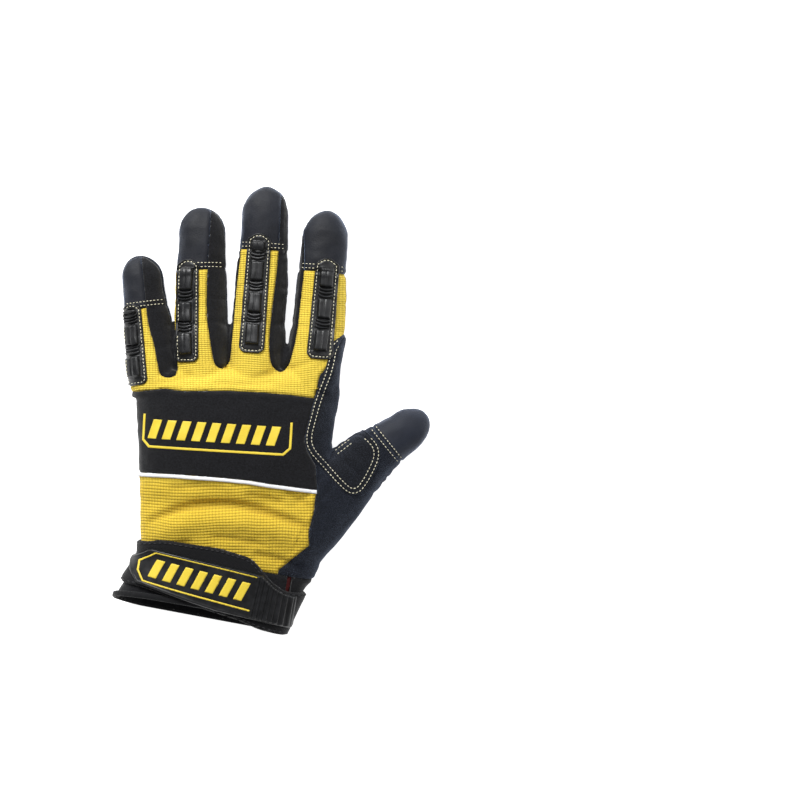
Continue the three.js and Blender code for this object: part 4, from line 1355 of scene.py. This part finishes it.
palm_lines = [across_digit(d, mm) for d in (middle, index, thumb) for mm in (-1.7, -4.6)]
palm_lines += [down_digit(index, 0.62, 0.42, 0.02, mm) for mm in (0.0, -2.4)]
palm_lines += [[(44.5, 98), (44.0, 84), (43.9, 70), (44.5, 58)],
               [(47.0, 98), (46.6, 84), (46.5, 70), (47, 58)],
               [(11.5, -12), (5.5, -49)], [(-2.2, -10), (-7.7, -45)],
               [(12.9, -12), (6.9, -49)], [(-3.6, -10), (-9.1, -45)]]
sewn("stitches_palm", under_shown, [(line, False) for line in palm_lines], UP, CREAM_THREAD, "knit",
     *PALM_ROW)

web_outline = rounded(on_hand(OVERLAY), 2)
web_lines = []
for distance in (1.1, 3.6):
    line = inset_line(web_outline, distance)
    kept = line[(line[:, 1] < 121) & ~((line[:, 0] > 57.5) & (line[:, 1] > 62))]
    gaps = np.linalg.norm(np.diff(np.r_[kept, kept[:1]], axis=0), axis=1)
    web_lines.append((np.roll(kept, -int(np.argmax(gaps)) - 1, axis=0), False))
web_lines += [([(54.3, 54.5), (62.7, 60.9)], False), ([(55.6, 52.6), (64.0, 59.0)], False)]
sewn("stitches_web", surface_of(web, *skins), web_lines, DOWN, CREAM_THREAD, "knit", *WEB_ROW)

cap_lines = [(across_digit(d, mm, 1.2), False) for d in DIGITS[:-1] for mm in (-1.6, -3.8)]
cap_lines += [(across_digit(thumb, mm, 1.2), False) for mm in (1.5, -1.4)]
sewn("stitches_caps", surface_of(*skins), cap_lines, DOWN, CREAM_THREAD, "knit", *CAP_ROW)
guard_lines = [(inset_line(outline, 1.35), True) for outline in guard_outlines]
sewn("stitches_guards", surface_of(*guards), guard_lines, DOWN, CREAM_THREAD, "knit", *GUARD_ROW)
strap_lines = [(inset_line(rounded(on_hand(STRAP), 2, 2.0), 1.7), True)]
sewn("stitches_strap", surface_of(strap), strap_lines, DOWN, DARK_THREAD, "webbing", *STRAP_ROW)

# The camera straight above, framing what the photograph frames
VIEW_WIDTH, AIM, MIDDLE_HEIGHT, LENS, SENSOR = 440.0, (70.6, 5.6), 14.0, 110.0, 36.0
camera_data = bpy.data.cameras.new("camera")
camera_data.lens, camera_data.sensor_width = LENS, SENSOR
camera = bpy.data.objects.new("camera", camera_data)
camera.location = (AIM[0] * MM, AIM[1] * MM, (VIEW_WIDTH * LENS / SENSOR + MIDDLE_HEIGHT) * MM)
camera_data.clip_start = 0.01
bpy.context.scene.collection.objects.link(camera)
bpy.context.scene.camera = camera

# A white sweep below and soft light from the upper left
SWEEP_HALF = 6.0
SWEEP_DROP = 0.0003
floor_mesh = bpy.data.meshes.new("sweep")
corners = [(x * SWEEP_HALF, y * SWEEP_HALF, 0) for x, y in ((-1, -1), (1, -1), (1, 1), (-1, 1))]
floor_mesh.from_pydata(corners, [], [(0, 1, 2, 3)])
sweep = bpy.data.objects.new("sweep", floor_mesh)
sweep.location.z = -SWEEP_DROP
bpy.context.scene.collection.objects.link(sweep)
white = Shader("white_sweep")
floor_mesh.materials.append(white.set(Base_Color=(0.9, 0.9, 0.9, 1.0), Roughness=0.9,
                                      Emission_Color=(1.0, 1.0, 1.0, 1.0), Emission_Strength=0.9))

LIGHTS = table("x y z size power", [
    (-0.40, 0.95, 0.85, 0.5, 21.0),
    (0.85, 0.45, 0.90, 0.8, 4.0),
    (0.05, -0.95, 0.80, 0.9, 0.8),
])
for k in range(len(LIGHTS["x"])):
    lamp = bpy.data.lights.new(f"light_{k}", "AREA")
    lamp.size, lamp.energy = LIGHTS["size"][k], LIGHTS["power"][k]
    lit = bpy.data.objects.new(f"light_{k}", lamp)
    lit.location = (LIGHTS["x"][k], LIGHTS["y"][k], LIGHTS["z"][k])
    lit.rotation_euler = (-Vector(lit.location)).to_track_quat("-Z", "Y").to_euler()
    bpy.context.scene.collection.objects.link(lit)
world = bpy.data.worlds.new("world")
bpy.context.scene.world = world
world.use_nodes = True
background = world.node_tree.nodes["Background"]
background.inputs["Color"].default_value = (1, 1, 1, 1)
background.inputs["Strength"].default_value = 0.2
bpy.context.scene.view_settings.view_transform = "Standard"
